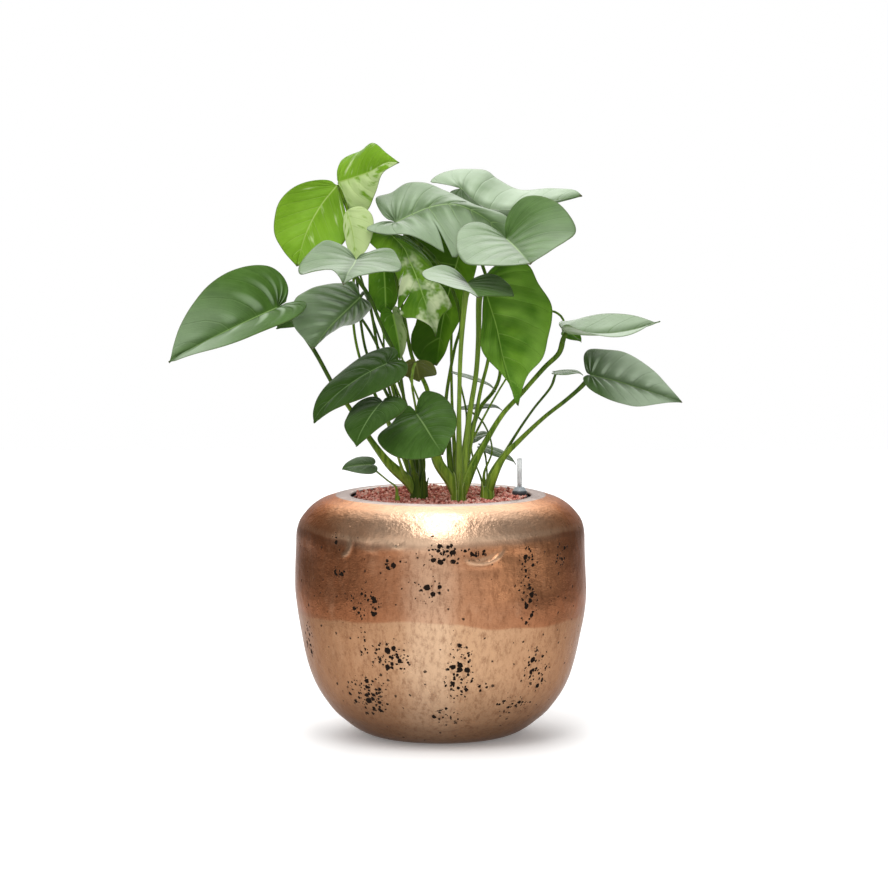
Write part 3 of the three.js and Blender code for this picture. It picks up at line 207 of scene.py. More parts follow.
# Plantlets: the post of each, and its stalks as leaf, radius at the base and at the leaf, and points
PLANTLETS = {
    "stalks_left": {"post": [-27, 8, 11], "stalks": [
        ["leaf_far_left", 6.5, 2.7, [-41, 318, 4], [-64, 339, 4], [-86, 367, 5], [-116, 412, 6],
            [-131, 432, 6], [-161, 485, -4], [-197, 532, -12]],
        ["leaf_pale_left", 4, 2.4, [-36, 340, 4], [-46, 420, 0], [-56, 474, -6], [-74, 512, -12],
            [-90, 549, -14], [-108, 578, -14], [-108, 588, -16]],
        ["leaf_under_left", 3.4, 2, [-40, 345, 14], [-64, 430, 24], [-78, 480, 28], [-86, 525, 28],
            [-91, 546, 15], [-96, 553, 0]],
        ["leaf_behind_left", 3, 1.8, [-34, 350, 22], [-60, 440, 46], [-92, 510, 68],
            [-122, 546, 76]],
        ["leaf_top_left", 3.6, 1.9, [-42, 340, 10], [-84, 430, 32], [-101, 471, 40],
            [-109, 512, 42], [-109, 560, 40], [-109, 608, 42], [-114, 647, 50], [-127, 684, 54]],
        ["leaf_top_crown", 3.6, 1.9, [-30, 345, 22], [-74, 440, 46], [-92, 476, 54],
            [-100, 516, 62], [-104, 560, 66], [-108, 612, 70], [-114, 650, 73], [-124, 683, 73]],
        ["leaf_young_yellow", 2.8, 1.4, [-26, 350, 12], [-56, 450, 34], [-78, 500, 34],
            [-96, 560, 30], [-108, 600, 28], [-114, 640, 30]],
        ["leaf_low_left", 3.2, 2, [-34, 330, 0], [-50, 390, -14], [-62, 440, -32], [-67, 458, -42]],
        ["leaf_low_round", 2.8, 1.6, [-44, 322, -2], [-60, 370, -20], [-70, 400, -44],
            [-74, 411, -60]],
        ["leaf_bright_hanging", 2.4, 1.4, [-22, 350, 14], [-58, 440, 30], [-70, 476, 30],
            [-71, 527, 40], [-72, 560, 40], [-73, 588, 33]],
        ["leaf_low_front", 2.8, 1.7, [-24, 335, 4], [-32, 372, 0], [-34, 392, -10]],
        ["leaf_olive", 2.8, 1.6, [-24, 340, 8], [-30, 400, 4], [-36, 440, -22], [-34, 460, -36]],
    ]},
    "stalks_middle": {"post": [22, -18, 9.5], "stalks": [
        ["leaf_pale_centre", 5, 3.2, [23, 330, -20], [23, 410, -26], [25, 482, -34],
            [30, 540, -44]],
        ["leaf_hanging_right", 6, 3.6, [28, 332, -14], [36, 400, -8], [44, 451, -4], [47, 494, -2],
            [48, 545, -4], [51, 560, -12]],
        ["leaf_shoulder_right", 4, 2.6, [32, 340, -8], [44, 400, -2], [50, 432, 2], [59, 468, 6],
            [70, 540, 6], [81, 608, -2]],
        ["leaf_upper_right", 4, 2.4, [30, 350, 4], [50, 410, 24], [66, 430, 40], [74, 451, 50],
            [66, 540, 92], [38, 630, 126], [29, 672, 130]],
        ["leaf_upper_middle", 3.6, 2.4, [12, 338, -12], [10, 367, -6], [6, 410, 6], [17, 482, 26],
            [25, 516, 34], [8, 572, 40], [-12, 600, 36], [-52, 634, 30]],
        ["leaf_split_young", 6.5, 2.2, [12, 318, -20], [-5, 345, -20], [-11, 382, -8],
            [-17, 432, 6], [-35, 470, 18], [-46, 524, 18], [-55, 569, 20], [-60, 618, 22]],
        ["leaf_dark_middle", 3.2, 2, [18, 345, 0], [14, 420, 24], [14, 520, 68], [20, 575, 78],
            [23, 592, 76]],
        ["leaf_right_upper", 6.5, 3, [36, 328, -14], [58, 370, -8], [78, 402, -6], [99, 425, -8],
            [130, 460, -12], [148, 478, -16], [153, 495, -19]],
        ["leaf_sliver", 2.6, 1.3, [20, 322, 0], [50, 390, 22], [72, 430, 30], [84, 450, 32],
            [110, 506, 34], [136, 530, 30], [150, 524, 24], [156, 510, 21]],
        ["leaf_tiny_middle", 2.4, 1.3, [26, 345, 6], [32, 400, 34], [24, 440, 42], [22, 449, 39]],
        ["leaf_two_tone", 2.4, 1.4, [6, 330, -4], [-20, 400, 16], [-48, 470, 24], [-62, 516, 20],
            [-61, 523, 14]],
    ]},
    "stalks_right": {"post": [58, 6, 9], "stalks": [
        ["leaf_right_lower", 6.5, 2.5, [64, 320, 4], [78, 347, 4], [98, 368, 2], [130, 398, -4],
            [158, 420, -8], [178, 438, -11]],
        ["leaf_tiny_right", 4, 1.5, [66, 326, 10], [78, 349, 12], [98, 382, 10], [116, 408, 6],
            [138, 436, -6], [143, 450, -14]],
        ["leaf_back_pale", 2.2, 1.2, [50, 322, 26], [40, 348, 56], [37, 366, 65]],
        ["leaf_back_low", 2.2, 1.2, [58, 322, 26], [56, 348, 54], [54, 357, 60]],
        ["leaf_edge_on", 2.2, 1.2, [54, 326, 14], [64, 356, 24], [52, 392, 50], [34, 407, 58]],
    ]},
    "stalk_tiny": {"post": [-54, -16, 3.2], "stalks": [
        ["leaf_tiny_left", 2.2, 1.2, [-56, 310, -16], [-66, 318, -17], [-77, 327, -18],
            [-85, 334, -19]],
    ]},
}


def front(point):
    """The place in space of a point seen `across` and `up` on the picture at a given depth."""
    across, up, depth = point
    seen = AIM + VIEW_UP * (up - AIM_UP)
    seen[0] += across - AIM[0]
    ray = seen - EYE
    return EYE + ray * ((depth - EYE[1]) / ray[1])


class Curve:
    """A smooth line through points, looked up by its share of length or of points."""

    def __init__(self, points, samples=48):
        p = np.asarray(points, float)
        ends = np.vstack([2 * p[0] - p[1], p, 2 * p[-1] - p[-2]])
        w = np.linspace(0, 1, samples, endpoint=False)[:, None]
        parts = []
        for x0, x1, x2, x3 in zip(ends, ends[1:], ends[2:], ends[3:]):
            d0, d1, d2 = (max(np.sum((b - a) ** 2) ** 0.25, 1e-4)
                          for a, b in ((x0, x1), (x1, x2), (x2, x3)))
            t1 = ((x1 - x0) / d0 - (x2 - x0) / (d0 + d1) + (x2 - x1) / d1) * d1
            t2 = ((x2 - x1) / d1 - (x3 - x1) / (d1 + d2) + (x3 - x2) / d2) * d1
            parts.append(x1 + t1 * w + (3 * (x2 - x1) - 2 * t1 - t2) * w ** 2
                         + (2 * (x1 - x2) + t1 + t2) * w ** 3)
        self.line = np.vstack(parts + [p[-1:]])
        steps = np.linalg.norm(np.diff(self.line, axis=0), axis=1)
        self.arc = np.concatenate([[0], np.cumsum(steps)])
        self.length = self.arc[-1]

    def _look(self, at, scale):
        return np.stack([np.interp(at, scale, column) for column in self.line.T], -1)

    def by_length(self, share):
        return self._look(np.clip(share, 0, 1) * self.length, self.arc)

    def by_points(self, share):
        count = len(self.line) - 1
        return self._look(np.clip(share, 0, 1) * count, np.arange(count + 1))


def unit(v):
    return v / np.maximum(np.linalg.norm(v, axis=-1, keepdims=True), 1e-9)


# One half of a shaped leaf's outline, from the notch to the tip: along, across, vein start
HALF_OUTLINE = Curve([
    (-0.1, 0.05, 0), (-0.165, 0.24, 0), (-0.17, 0.52, 0), (-0.1, 0.79, 0), (0.04, 0.95, 0),
    (0.2, 1.0, 0.04), (0.4, 0.94, 0.16), (0.6, 0.74, 0.36), (0.78, 0.46, 0.6), (0.9, 0.2, 0.8),
    (0.96, 0.06, 0.92), (1.0, 0.0, 1.0),
])


def midrib_line(arch, droop):
    """The midrib as a bent line in its own plane; returns its chord and a lookup."""
    steps = 80

    def angle_at(u):
        return -arch * (u - 0.5) - droop * np.maximum(0, (u - 0.7) / 0.3) ** 2

    angles = angle_at((np.arange(steps) + 0.5) / steps)
    x = np.concatenate([[0], np.cumsum(np.cos(angles))]) / steps
    z = np.concatenate([[0], np.cumsum(np.sin(angles))]) / steps
    chord = math.hypot(x[-1], z[-1])
    turn = math.atan2(z[-1], x[-1])

    def place(u):
        at = np.clip(u, 0, 1) * steps
        before = np.minimum(u, 0)
        angle = np.where(u < 0, angle_at(u * 0.5), angle_at(u))
        px = np.interp(at, np.arange(steps + 1), x) + np.cos(angle) * before
        pz = np.interp(at, np.arange(steps + 1), z) + np.sin(angle) * before
        along = px * math.cos(turn) + pz * math.sin(turn)
        height = -px * math.sin(turn) + pz * math.cos(turn)
        return along, height, angle - turn

    return chord, place


def shaped_surface(leaf):
    attach = front(leaf["attach"])
    ahead = front(leaf["tip"]) - attach
    chord = np.linalg.norm(ahead)
    half = leaf.get("width", 0) / 2
    normal = np.array(leaf.get("face", (0, 0, 1)), float)
    if "side" in leaf:
        across, up = leaf["side"]
        left = np.array([across, 0.0, up])
        left[1] = -left.dot(ahead) / ahead[1]
        half = np.linalg.norm(left)
        normal = np.cross(ahead, left)
    ahead = ahead / chord
    normal = unit(normal - ahead * normal.dot(ahead))
    left = np.cross(normal, ahead)
    rib_chord, place = midrib_line(leaf.get("arch", 0.4), leaf.get("droop", 0.5))
    length = chord / rib_chord
    wave = leaf.get("wave", 2.5)
    turn_rate = math.radians(leaf.get("edge", -20)) / half

    def shaped(u):
        power = np.maximum(u, 1e-9) ** leaf.get("belly", 1)
        return np.where(u > 0, power, u * leaf.get("lobe", 1))

    def points(side, t, s, shift):
        margin = HALF_OUTLINE.by_points(t)
        reach = margin[:, 1:2] * s * half
        bow = 0.06 * np.sin(np.pi * s) * np.maximum(0, margin[:, 1:2])
        start = shaped(margin[:, 2:3])
        u = start + (shaped(margin[:, 0:1]) - start) * s - bow + shift / length
        turned = leaf.get("twist", 0) * np.maximum(u, 0) * side
        fold = np.radians((leaf["foldL"] if side > 0 else leaf["foldR"]) + turned)
        end = fold + turn_rate * reach
        out = (np.sin(end) - np.sin(fold)) / turn_rate
        lift = (np.cos(fold) - np.cos(end)) / turn_rate
        lift = lift + wave * s * s * np.sin(t[:, None] * 11 + side)
        along, height, angle = place(u)
        return (attach + ahead * (along * length - np.sin(angle) * lift)[..., None]
                + normal * (height * length + np.cos(angle) * lift)[..., None]
                + left * (side * out)[..., None])

    return points


def drawn_surface(leaf):
    start, tip = leaf["rib"][0], leaf["rib"][-1]
    attach = front(start)
    rib = Curve([front(p) for p in leaf["rib"]])
    halves = {}
    for side, key in ((1, "left"), (-1, "right")):
        margin = Curve([front(p) for p in [start, *leaf[key], tip]])
        ring = margin.by_length(np.linspace(0, 1, 25)) - attach
        halves[side] = margin, unit(-side * np.cross(ring[:-1], ring[1:]).sum(axis=0))

    def points(side, t, s, shift):
        margin, normal = halves[side]
        edge = margin.by_length(np.minimum(0.04 + 0.96 * t[:, None] + shift / margin.length, 1))
        base = rib.by_length(np.maximum(0, (t - 0.3) / 0.7) ** 1.25)[:, None, :]
        lift = leaf.get("swell", 4) * np.sin(np.pi * s) * np.sin(np.pi * np.minimum(t * 1.1, 1))[:, None]
        return base + (edge - base) * s[..., None] + normal * lift[..., None]

    return points


def cut_lines(leaf, side, rows):
    """Shares of the margin for a half leaf's rows; a cut has two rows in the same place."""
    cuts = [(cut["row"] / leaf.get("rows", 9), cut) for cut in leaf.get("cuts", ())
            if cut["side"] == side]
    lines = [(t, 0) for t in np.linspace(0, 1, rows + 1)
             if all(abs(t - at) > 0.4 / rows for at, _ in cuts)]
    lines += [(at, way) for at, _ in cuts for way in (-1, 1)]
    return sorted(lines), cuts


def half_grid(leaf, surface, side, rows, columns):
    lines, cuts = cut_lines(leaf, side, rows)
    t = np.array([line[0] for line in lines])
    way = np.array([line[1] for line in lines])
    s = (np.linspace(0, 1, columns + 1) ** 0.85)[None, :] * np.ones((len(t), 1))
    shift = np.zeros_like(s)
    for at, cut in cuts:
        open_share = np.clip((s - cut["from"]) / (min(cut["to"], 1) - cut["from"]), 0, 1)
        gap = cut["gap"] * (open_share if cut["to"] > 1 else np.sin(np.pi * open_share) ** 0.6)
        sign = np.where(np.abs(t - at) < 1e-9, way, np.sign(t - at))
        shift += gap * (sign * np.maximum(0, 1 - np.abs(t - at) / 0.07) ** 2)[:, None]
    grid = surface(side, t, s, shift)
    apart = [k for k in range(len(t) - 1) if t[k + 1] - t[k] > 1e-9]
    return t, s, grid, apart


def link(name, data):
    """A new object in the scene."""
    obj = bpy.data.objects.new(name, data)
    bpy.context.scene.collection.objects.link(obj)
    return obj


def new_mesh(name, points, faces, corner_data=(), material=None, smooth=True):
    """A mesh object in metres from points in millimetres."""
    mesh = bpy.data.meshes.new(name)
    mesh.from_pydata((np.asarray(points) * MM).tolist(), [], faces)
    for label, kind, values in corner_data:
        layer = mesh.attributes.new(label, kind, "CORNER")
        field = "vector" if kind == "FLOAT_VECTOR" else "value"
        layer.data.foreach_set(field, np.asarray(values, np.float32).ravel())
    if smooth:
        mesh.polygons.foreach_set("use_smooth", [True] * len(mesh.polygons))
    mesh.update()
    obj = link(name, mesh)
    if material:
        mesh.materials.append(material)
    return obj


def vein_height(t, s, count):
    """How far the blade bulges between its side veins, from 0 on a vein to 1 between them."""
    phase = count * (t - VEIN_BEND * s * s)
    near = np.abs(2 * (phase - np.floor(phase)) - 1)
    return (1 - near ** 2) * np.sin(np.pi * np.clip(s * 1.02, 0, 1)) ** 0.7


def leaf_piece(name, leaf, seed):
    surface = drawn_surface(leaf) if "rib" in leaf else shaped_surface(leaf)
    rows, columns, veins = SMALL_LEAF if leaf.get("small") else LARGE_LEAF
    points, quads, data = [], [], []
    count = 0
    size = 0
    for side in (1, -1):
        t, s, grid, apart = half_grid(leaf, surface, side, rows, columns)
        reach = np.linalg.norm(grid - grid[:, :1], axis=-1)
        size = max(size, reach.max())
        tt = t[:, None] * np.ones_like(s)
        points.append(grid.reshape(-1, 3))
        data.append(np.stack([tt, s, reach * side], -1).reshape(-1, 3))
        width = columns + 1
        for k in apart:
            for j in range(columns):
                a = count + k * width + j
                quad = (a, a + width, a + width + 1, a + 1)
                quads.append(quad if side > 0 else quad[::-1])
        count += grid.shape[0] * width
    points = np.vstack(points)
    data = np.vstack(data)
    keys, first, weld = np.unique(np.round(points, 3), axis=0, return_index=True, return_inverse=True)
    weld = weld.ravel()
    faces, corners = [], []
    for quad in quads:
        kept = [i for k, i in enumerate(quad) if weld[i] != weld[quad[k - 1]]]
        if len(kept) > 2:
            faces.append([int(weld[i]) for i in kept])
            corners.append(kept)
    flat = points[first]
    normals = np.zeros_like(flat)
    for face in faces:
        p = flat[face]
        normals[face] += np.cross(p[1] - p[0], p[-1] - p[0])
    normals = unit(normals)
    t, s, reach = data[first].T
    reach = np.abs(reach)
    # Relief: the blade bulges between veins, dips along the midrib and ripples at its edge
    relief = QUILT.get(name, 0.007) * size * vein_height(t, s, veins)
    relief -= 0.35 * np.exp(-(reach / 1.6) ** 2)
    relief += 0.012 * size * s ** 3 * np.sin(23 * t + seed) * np.sin(np.pi * np.clip(t, 0, 1))
    middle = flat + normals * relief[:, None]
    thick = BLADE_THICKNESS / 2
    rib_below = 0.5 + 0.9 * np.clip(1 - t, 0, 1)
    top = middle + normals * thick
    below = middle - normals * (thick + rib_below * np.exp(-(reach / 1.3) ** 2) * (size > 25))[:, None]
    total = len(flat)
    edges = {}
    for face in faces:
        for a, b in zip(face, face[1:] + face[:1]):
            if (b, a) in edges:
                del edges[(b, a)]
            else:
                edges[(a, b)] = True
    all_faces = list(faces)
    leaf_data = [(data[i][0], data[i][1], 1.0) for kept in corners for i in kept]
    rib_data = [data[i][2] for kept in corners for i in kept]
    for face, kept in zip(faces, corners):
        all_faces.append([i + total for i in face[::-1]])
        leaf_data += [(data[i][0], data[i][1], 0.0) for i in kept[::-1]]
        rib_data += [data[i][2] for i in kept[::-1]]
    for a, b in edges:
        all_faces.append([b, a, a + total, b + total])
        for i in (b, a, a, b):
            leaf_data.append((t[i], 1.0, 0.6))
            rib_data.append(reach[i])
    obj = new_mesh(name.replace("leaf_", "blade_"), np.vstack([top, below]), all_faces,
                   [("leaf", "FLOAT_VECTOR", leaf_data), ("rib", "FLOAT", rib_data)],
                   leaf_material(name, seed, veins))
    return dress(obj, name)


def dress(obj, node):
    """Sets the body of a piece and hides the solid that it stands for."""
    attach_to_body(obj, "root")
    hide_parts(node)
    return obj


class Look:
    """A procedural material or world, built node by node."""

    def __init__(self, name, kind="materials"):
        self.owner = getattr(bpy.data, kind).new(name)
        self.owner.use_nodes = True
        self.tree = self.owner.node_tree
        self.tree.nodes.clear()
        self.coordinates = self.add("TexCoord").outputs["Object"]

    def add(self, kind, inputs=(), **settings):
        node = self.tree.nodes.new("ShaderNode" + kind)
        for key, value in settings.items():
            setattr(node, key, value)
        for key, value in dict(inputs).items():
            self.put(node.inputs[key], value)
        return node

    def put(self, socket, value):
        if isinstance(value, bpy.types.NodeSocket):
            self.tree.links.new(value, socket)
        elif hasattr(socket.default_value, "__len__") and len(socket.default_value) == 4:
            socket.default_value = (*value[:3], 1.0)
        else:
            socket.default_value = value

    def math(self, operation, a, b=0.0):
        return self.add("Math", {0: a, 1: b}, operation=operation).outputs[0]

    def times(self, a, b):
        return self.math("MULTIPLY", a, b)

    def plus(self, a, b):
        return self.math("ADD", a, b)

    def minus(self, a, b):
        return self.math("SUBTRACT", a, b)

    def larger(self, a, b):
        return self.math("MAXIMUM", a, b)

    def size(self, a):
        return self.math("ABSOLUTE", a)

    def step(self, value, low, high, first=0.0, last=1.0):
        """First below low, last above high, smooth between; low may be the larger."""
        limits = {"Value": value, "From Min": low, "From Max": high, "To Min": first, "To Max": last}
        return self.add("MapRange", limits, interpolation_type="SMOOTHSTEP").outputs["Result"]

    def span(self, value, first, last=1.0, low=0.0, high=1.0):
        """First at low, last at high, straight between."""
        limits = {"Value": value, "From Min": low, "From Max": high, "To Min": first, "To Max": last}
        return self.add("MapRange", limits).outputs[0]

    def vector(self, operation, a, b=(0, 0, 0), output="Vector"):
        return self.add("VectorMath", {0: a, 1: b}, operation=operation).outputs[output]

    def axes(self):
        """The three coordinates of a point."""
        return self.add("SeparateXYZ", {0: self.coordinates}).outputs

    def mix(self, share, a, b, blend="MIX"):
        node = self.add("Mix", {0: share, 6: a, 7: b}, data_type="RGBA", blend_type=blend)
        return node.outputs[2]

    def noise(self, scale, detail=3, roughness=0.5, stretch=(1, 1, 1), vector=None):
        mapping = self.add("Mapping", {"Vector": vector or self.coordinates, "Scale": stretch})
        node = self.add("TexNoise", {"Vector": mapping.outputs[0], "Scale": scale,
                                     "Detail": detail, "Roughness": roughness})
        return node.outputs["Fac"]

    def bump(self, height, distance, strength=1.0, normal=None):
        node = self.add("Bump", {"Height": height, "Distance": distance, "Strength": strength})
        if normal:
            self.put(node.inputs["Normal"], normal)
        return node.outputs[0]

    def principled(self, **inputs):
        names = {key: key.replace("_", " ") for key in inputs}
        shader = self.add("BsdfPrincipled")
        for key, value in inputs.items():
            self.put(shader.inputs[names[key]], value)
        return shader.outputs[0]

    def done(self, shader, output="OutputMaterial"):
        self.put(self.add(output).inputs["Surface"], shader)
        return self.owner


# Leaf colours: deep and light green, veins, underside, how yellow the young parts are
GREENS = {
    "mid": dict(deep=(0.038, 0.09, 0.011), light=(0.075, 0.165, 0.028), vein=(0.2, 0.32, 0.1),
                under=(0.14, 0.24, 0.07)),
    "dark": dict(deep=(0.026, 0.064, 0.008), light=(0.05, 0.11, 0.018), vein=(0.15, 0.25, 0.08),
                 under=(0.11, 0.19, 0.05)),
    "bright": dict(deep=(0.045, 0.15, 0.004), light=(0.17, 0.35, 0.022), vein=(0.3, 0.5, 0.09),
                   under=(0.2, 0.38, 0.06)),
    "lush": dict(deep=(0.04, 0.13, 0.004), light=(0.19, 0.38, 0.02), vein=(0.34, 0.52, 0.12),
                 under=(0.16, 0.32, 0.04)),
    "olive": dict(deep=(0.06, 0.085, 0.01), light=(0.11, 0.14, 0.02), vein=(0.22, 0.25, 0.07),
                  under=(0.1, 0.12, 0.025)),
    "young": dict(deep=(0.15, 0.32, 0.01), light=(0.23, 0.44, 0.025), vein=(0.42, 0.58, 0.15),
                  under=(0.32, 0.5, 0.1)),
}
CREAM = (0.7, 0.82, 0.42)
PALE_CREAM = (0.88, 0.95, 0.62)
# Painted sheen, a pale grey-green, on the left and right half of the upper leaves, as shares
PAINTED_SHEEN = {
    "leaf_pale_left": (0.15, 0.3), "leaf_pale_centre": (0.0, 0.6), "leaf_upper_right": (0.85, 0.1),
    "leaf_upper_middle": (0.55, 0.62), "leaf_shoulder_right": (0.06, 0.55),
    "leaf_right_upper": (0.75, 0.75), "leaf_under_left": (0.65, 0.7),
    "leaf_hanging_right": (0.65, 0.5), "leaf_tiny_left": (0.25, 0.25),
    "leaf_tiny_middle": (0.5, 0.5), "leaf_tiny_right": (0.4, 0.4), "leaf_back_pale": (0.5, 0.5),
    "leaf_back_low": (0.3, 0.3), "leaf_right_lower": (1.0, 1.0), "leaf_far_left": (1.0, 0.5),
}
# Where along the blade the painted sheen sets in, from the stalk to the tip
SHEEN_FROM = {
    "leaf_right_lower": (0.2, 0.6), "leaf_far_left": (0.45, 0.85), "leaf_under_left": (0.3, 0.85),
}
# How far out from the midrib the painted sheen is full, in mm, where it is not 16
SHEEN_REACH = {"leaf_shoulder_right": 60.0, "leaf_under_left": 40.0, "leaf_upper_middle": 30.0}
# The share on the left half's tip, where the painted sheen grows toward it
SHEEN_TIPS = {"leaf_shoulder_right": 0.55}
# Halves with a duller skin: left, right
DULL = {
    "leaf_pale_centre": (1.0, 0.0), "leaf_far_left": (0.8, 1.0), "leaf_right_lower": (0.4, 0.4),
    "leaf_hanging_right": (0.6, 0.6), "leaf_low_round": (0.7, 0.7), "leaf_olive": (0.6, 0.6),
    "leaf_dark_middle": (0.5, 0.5), "leaf_low_left": (0.3, 0.3), "leaf_low_front": (0.2, 0.5),
    "leaf_shoulder_right": (0.5, 0.0),
}
# Leaves whose right half gets painted shade
SHADED = {"leaf_upper_right": 0.8, "leaf_dark_middle": 0.75}
# How clearly the side veins show on a mature leaf
VEIN_SHOW = {
    "leaf_upper_middle": 0.6, "leaf_pale_left": 0.1, "leaf_right_lower": 0.3, "leaf_low_left": 0.3,
}
# How strongly a blade bulges between its veins, as a share of its size
QUILT = {
    "leaf_far_left": 0.022, "leaf_low_left": 0.018, "leaf_under_left": 0.014, "leaf_low_front": 0.014,
    "leaf_top_left": 0.01, "leaf_top_crown": 0.012, "leaf_right_lower": 0.02,
    "leaf_split_young": 0.022, "leaf_hanging_right": 0.024, "leaf_low_round": 0.01,
}
# How much of the painted sheen lies on the swellings near the stalk
RIDGE_SHEEN = {"leaf_right_lower": 0.8, "leaf_far_left": 0.6, "leaf_under_left": 0.7}
# How strongly light and shade follow the swellings, where it is not 1
SWELL = {
    "leaf_far_left": 2.4, "leaf_under_left": 2.6, "leaf_low_left": 1.8, "leaf_upper_middle": 2.2,
    "leaf_right_lower": 2.0, "leaf_pale_left": 0.4, "leaf_hanging_right": 1.8,
    "leaf_young_yellow": 0.3, "leaf_top_crown": 0.6, "leaf_top_left": 0.5, "leaf_right_upper": 0.7,
}
# Which family each leaf is of, and how much of its left and right half is cream
LEAF_LOOKS = {
    "leaf_top_left": ("young", 0.22, 0.03), "leaf_top_crown": ("young", 0.2, 0.72),
    "leaf_young_yellow": ("young", 0.95, 0.8), "leaf_split_young": ("lush", 0.52, 0.5),
    "leaf_bright_hanging": ("bright", 0.1, 0.1), "leaf_two_tone": ("bright", 0.9, 0.1),
    "leaf_hanging_right": ("bright", 0, 0), "leaf_sliver": ("bright", 0, 0),
    "leaf_low_left": ("dark", 0, 0), "leaf_low_round": ("dark", 0, 0),
    "leaf_low_front": ("mid", 0, 0), "leaf_dark_middle": ("lush", 0, 0),
    "leaf_behind_left": ("dark", 0, 0), "leaf_edge_on": ("dark", 0, 0),
    "leaf_right_lower": ("dark", 0, 0), "leaf_far_left": ("mid", 0, 0),
    "leaf_olive": ("olive", 0, 0),
}


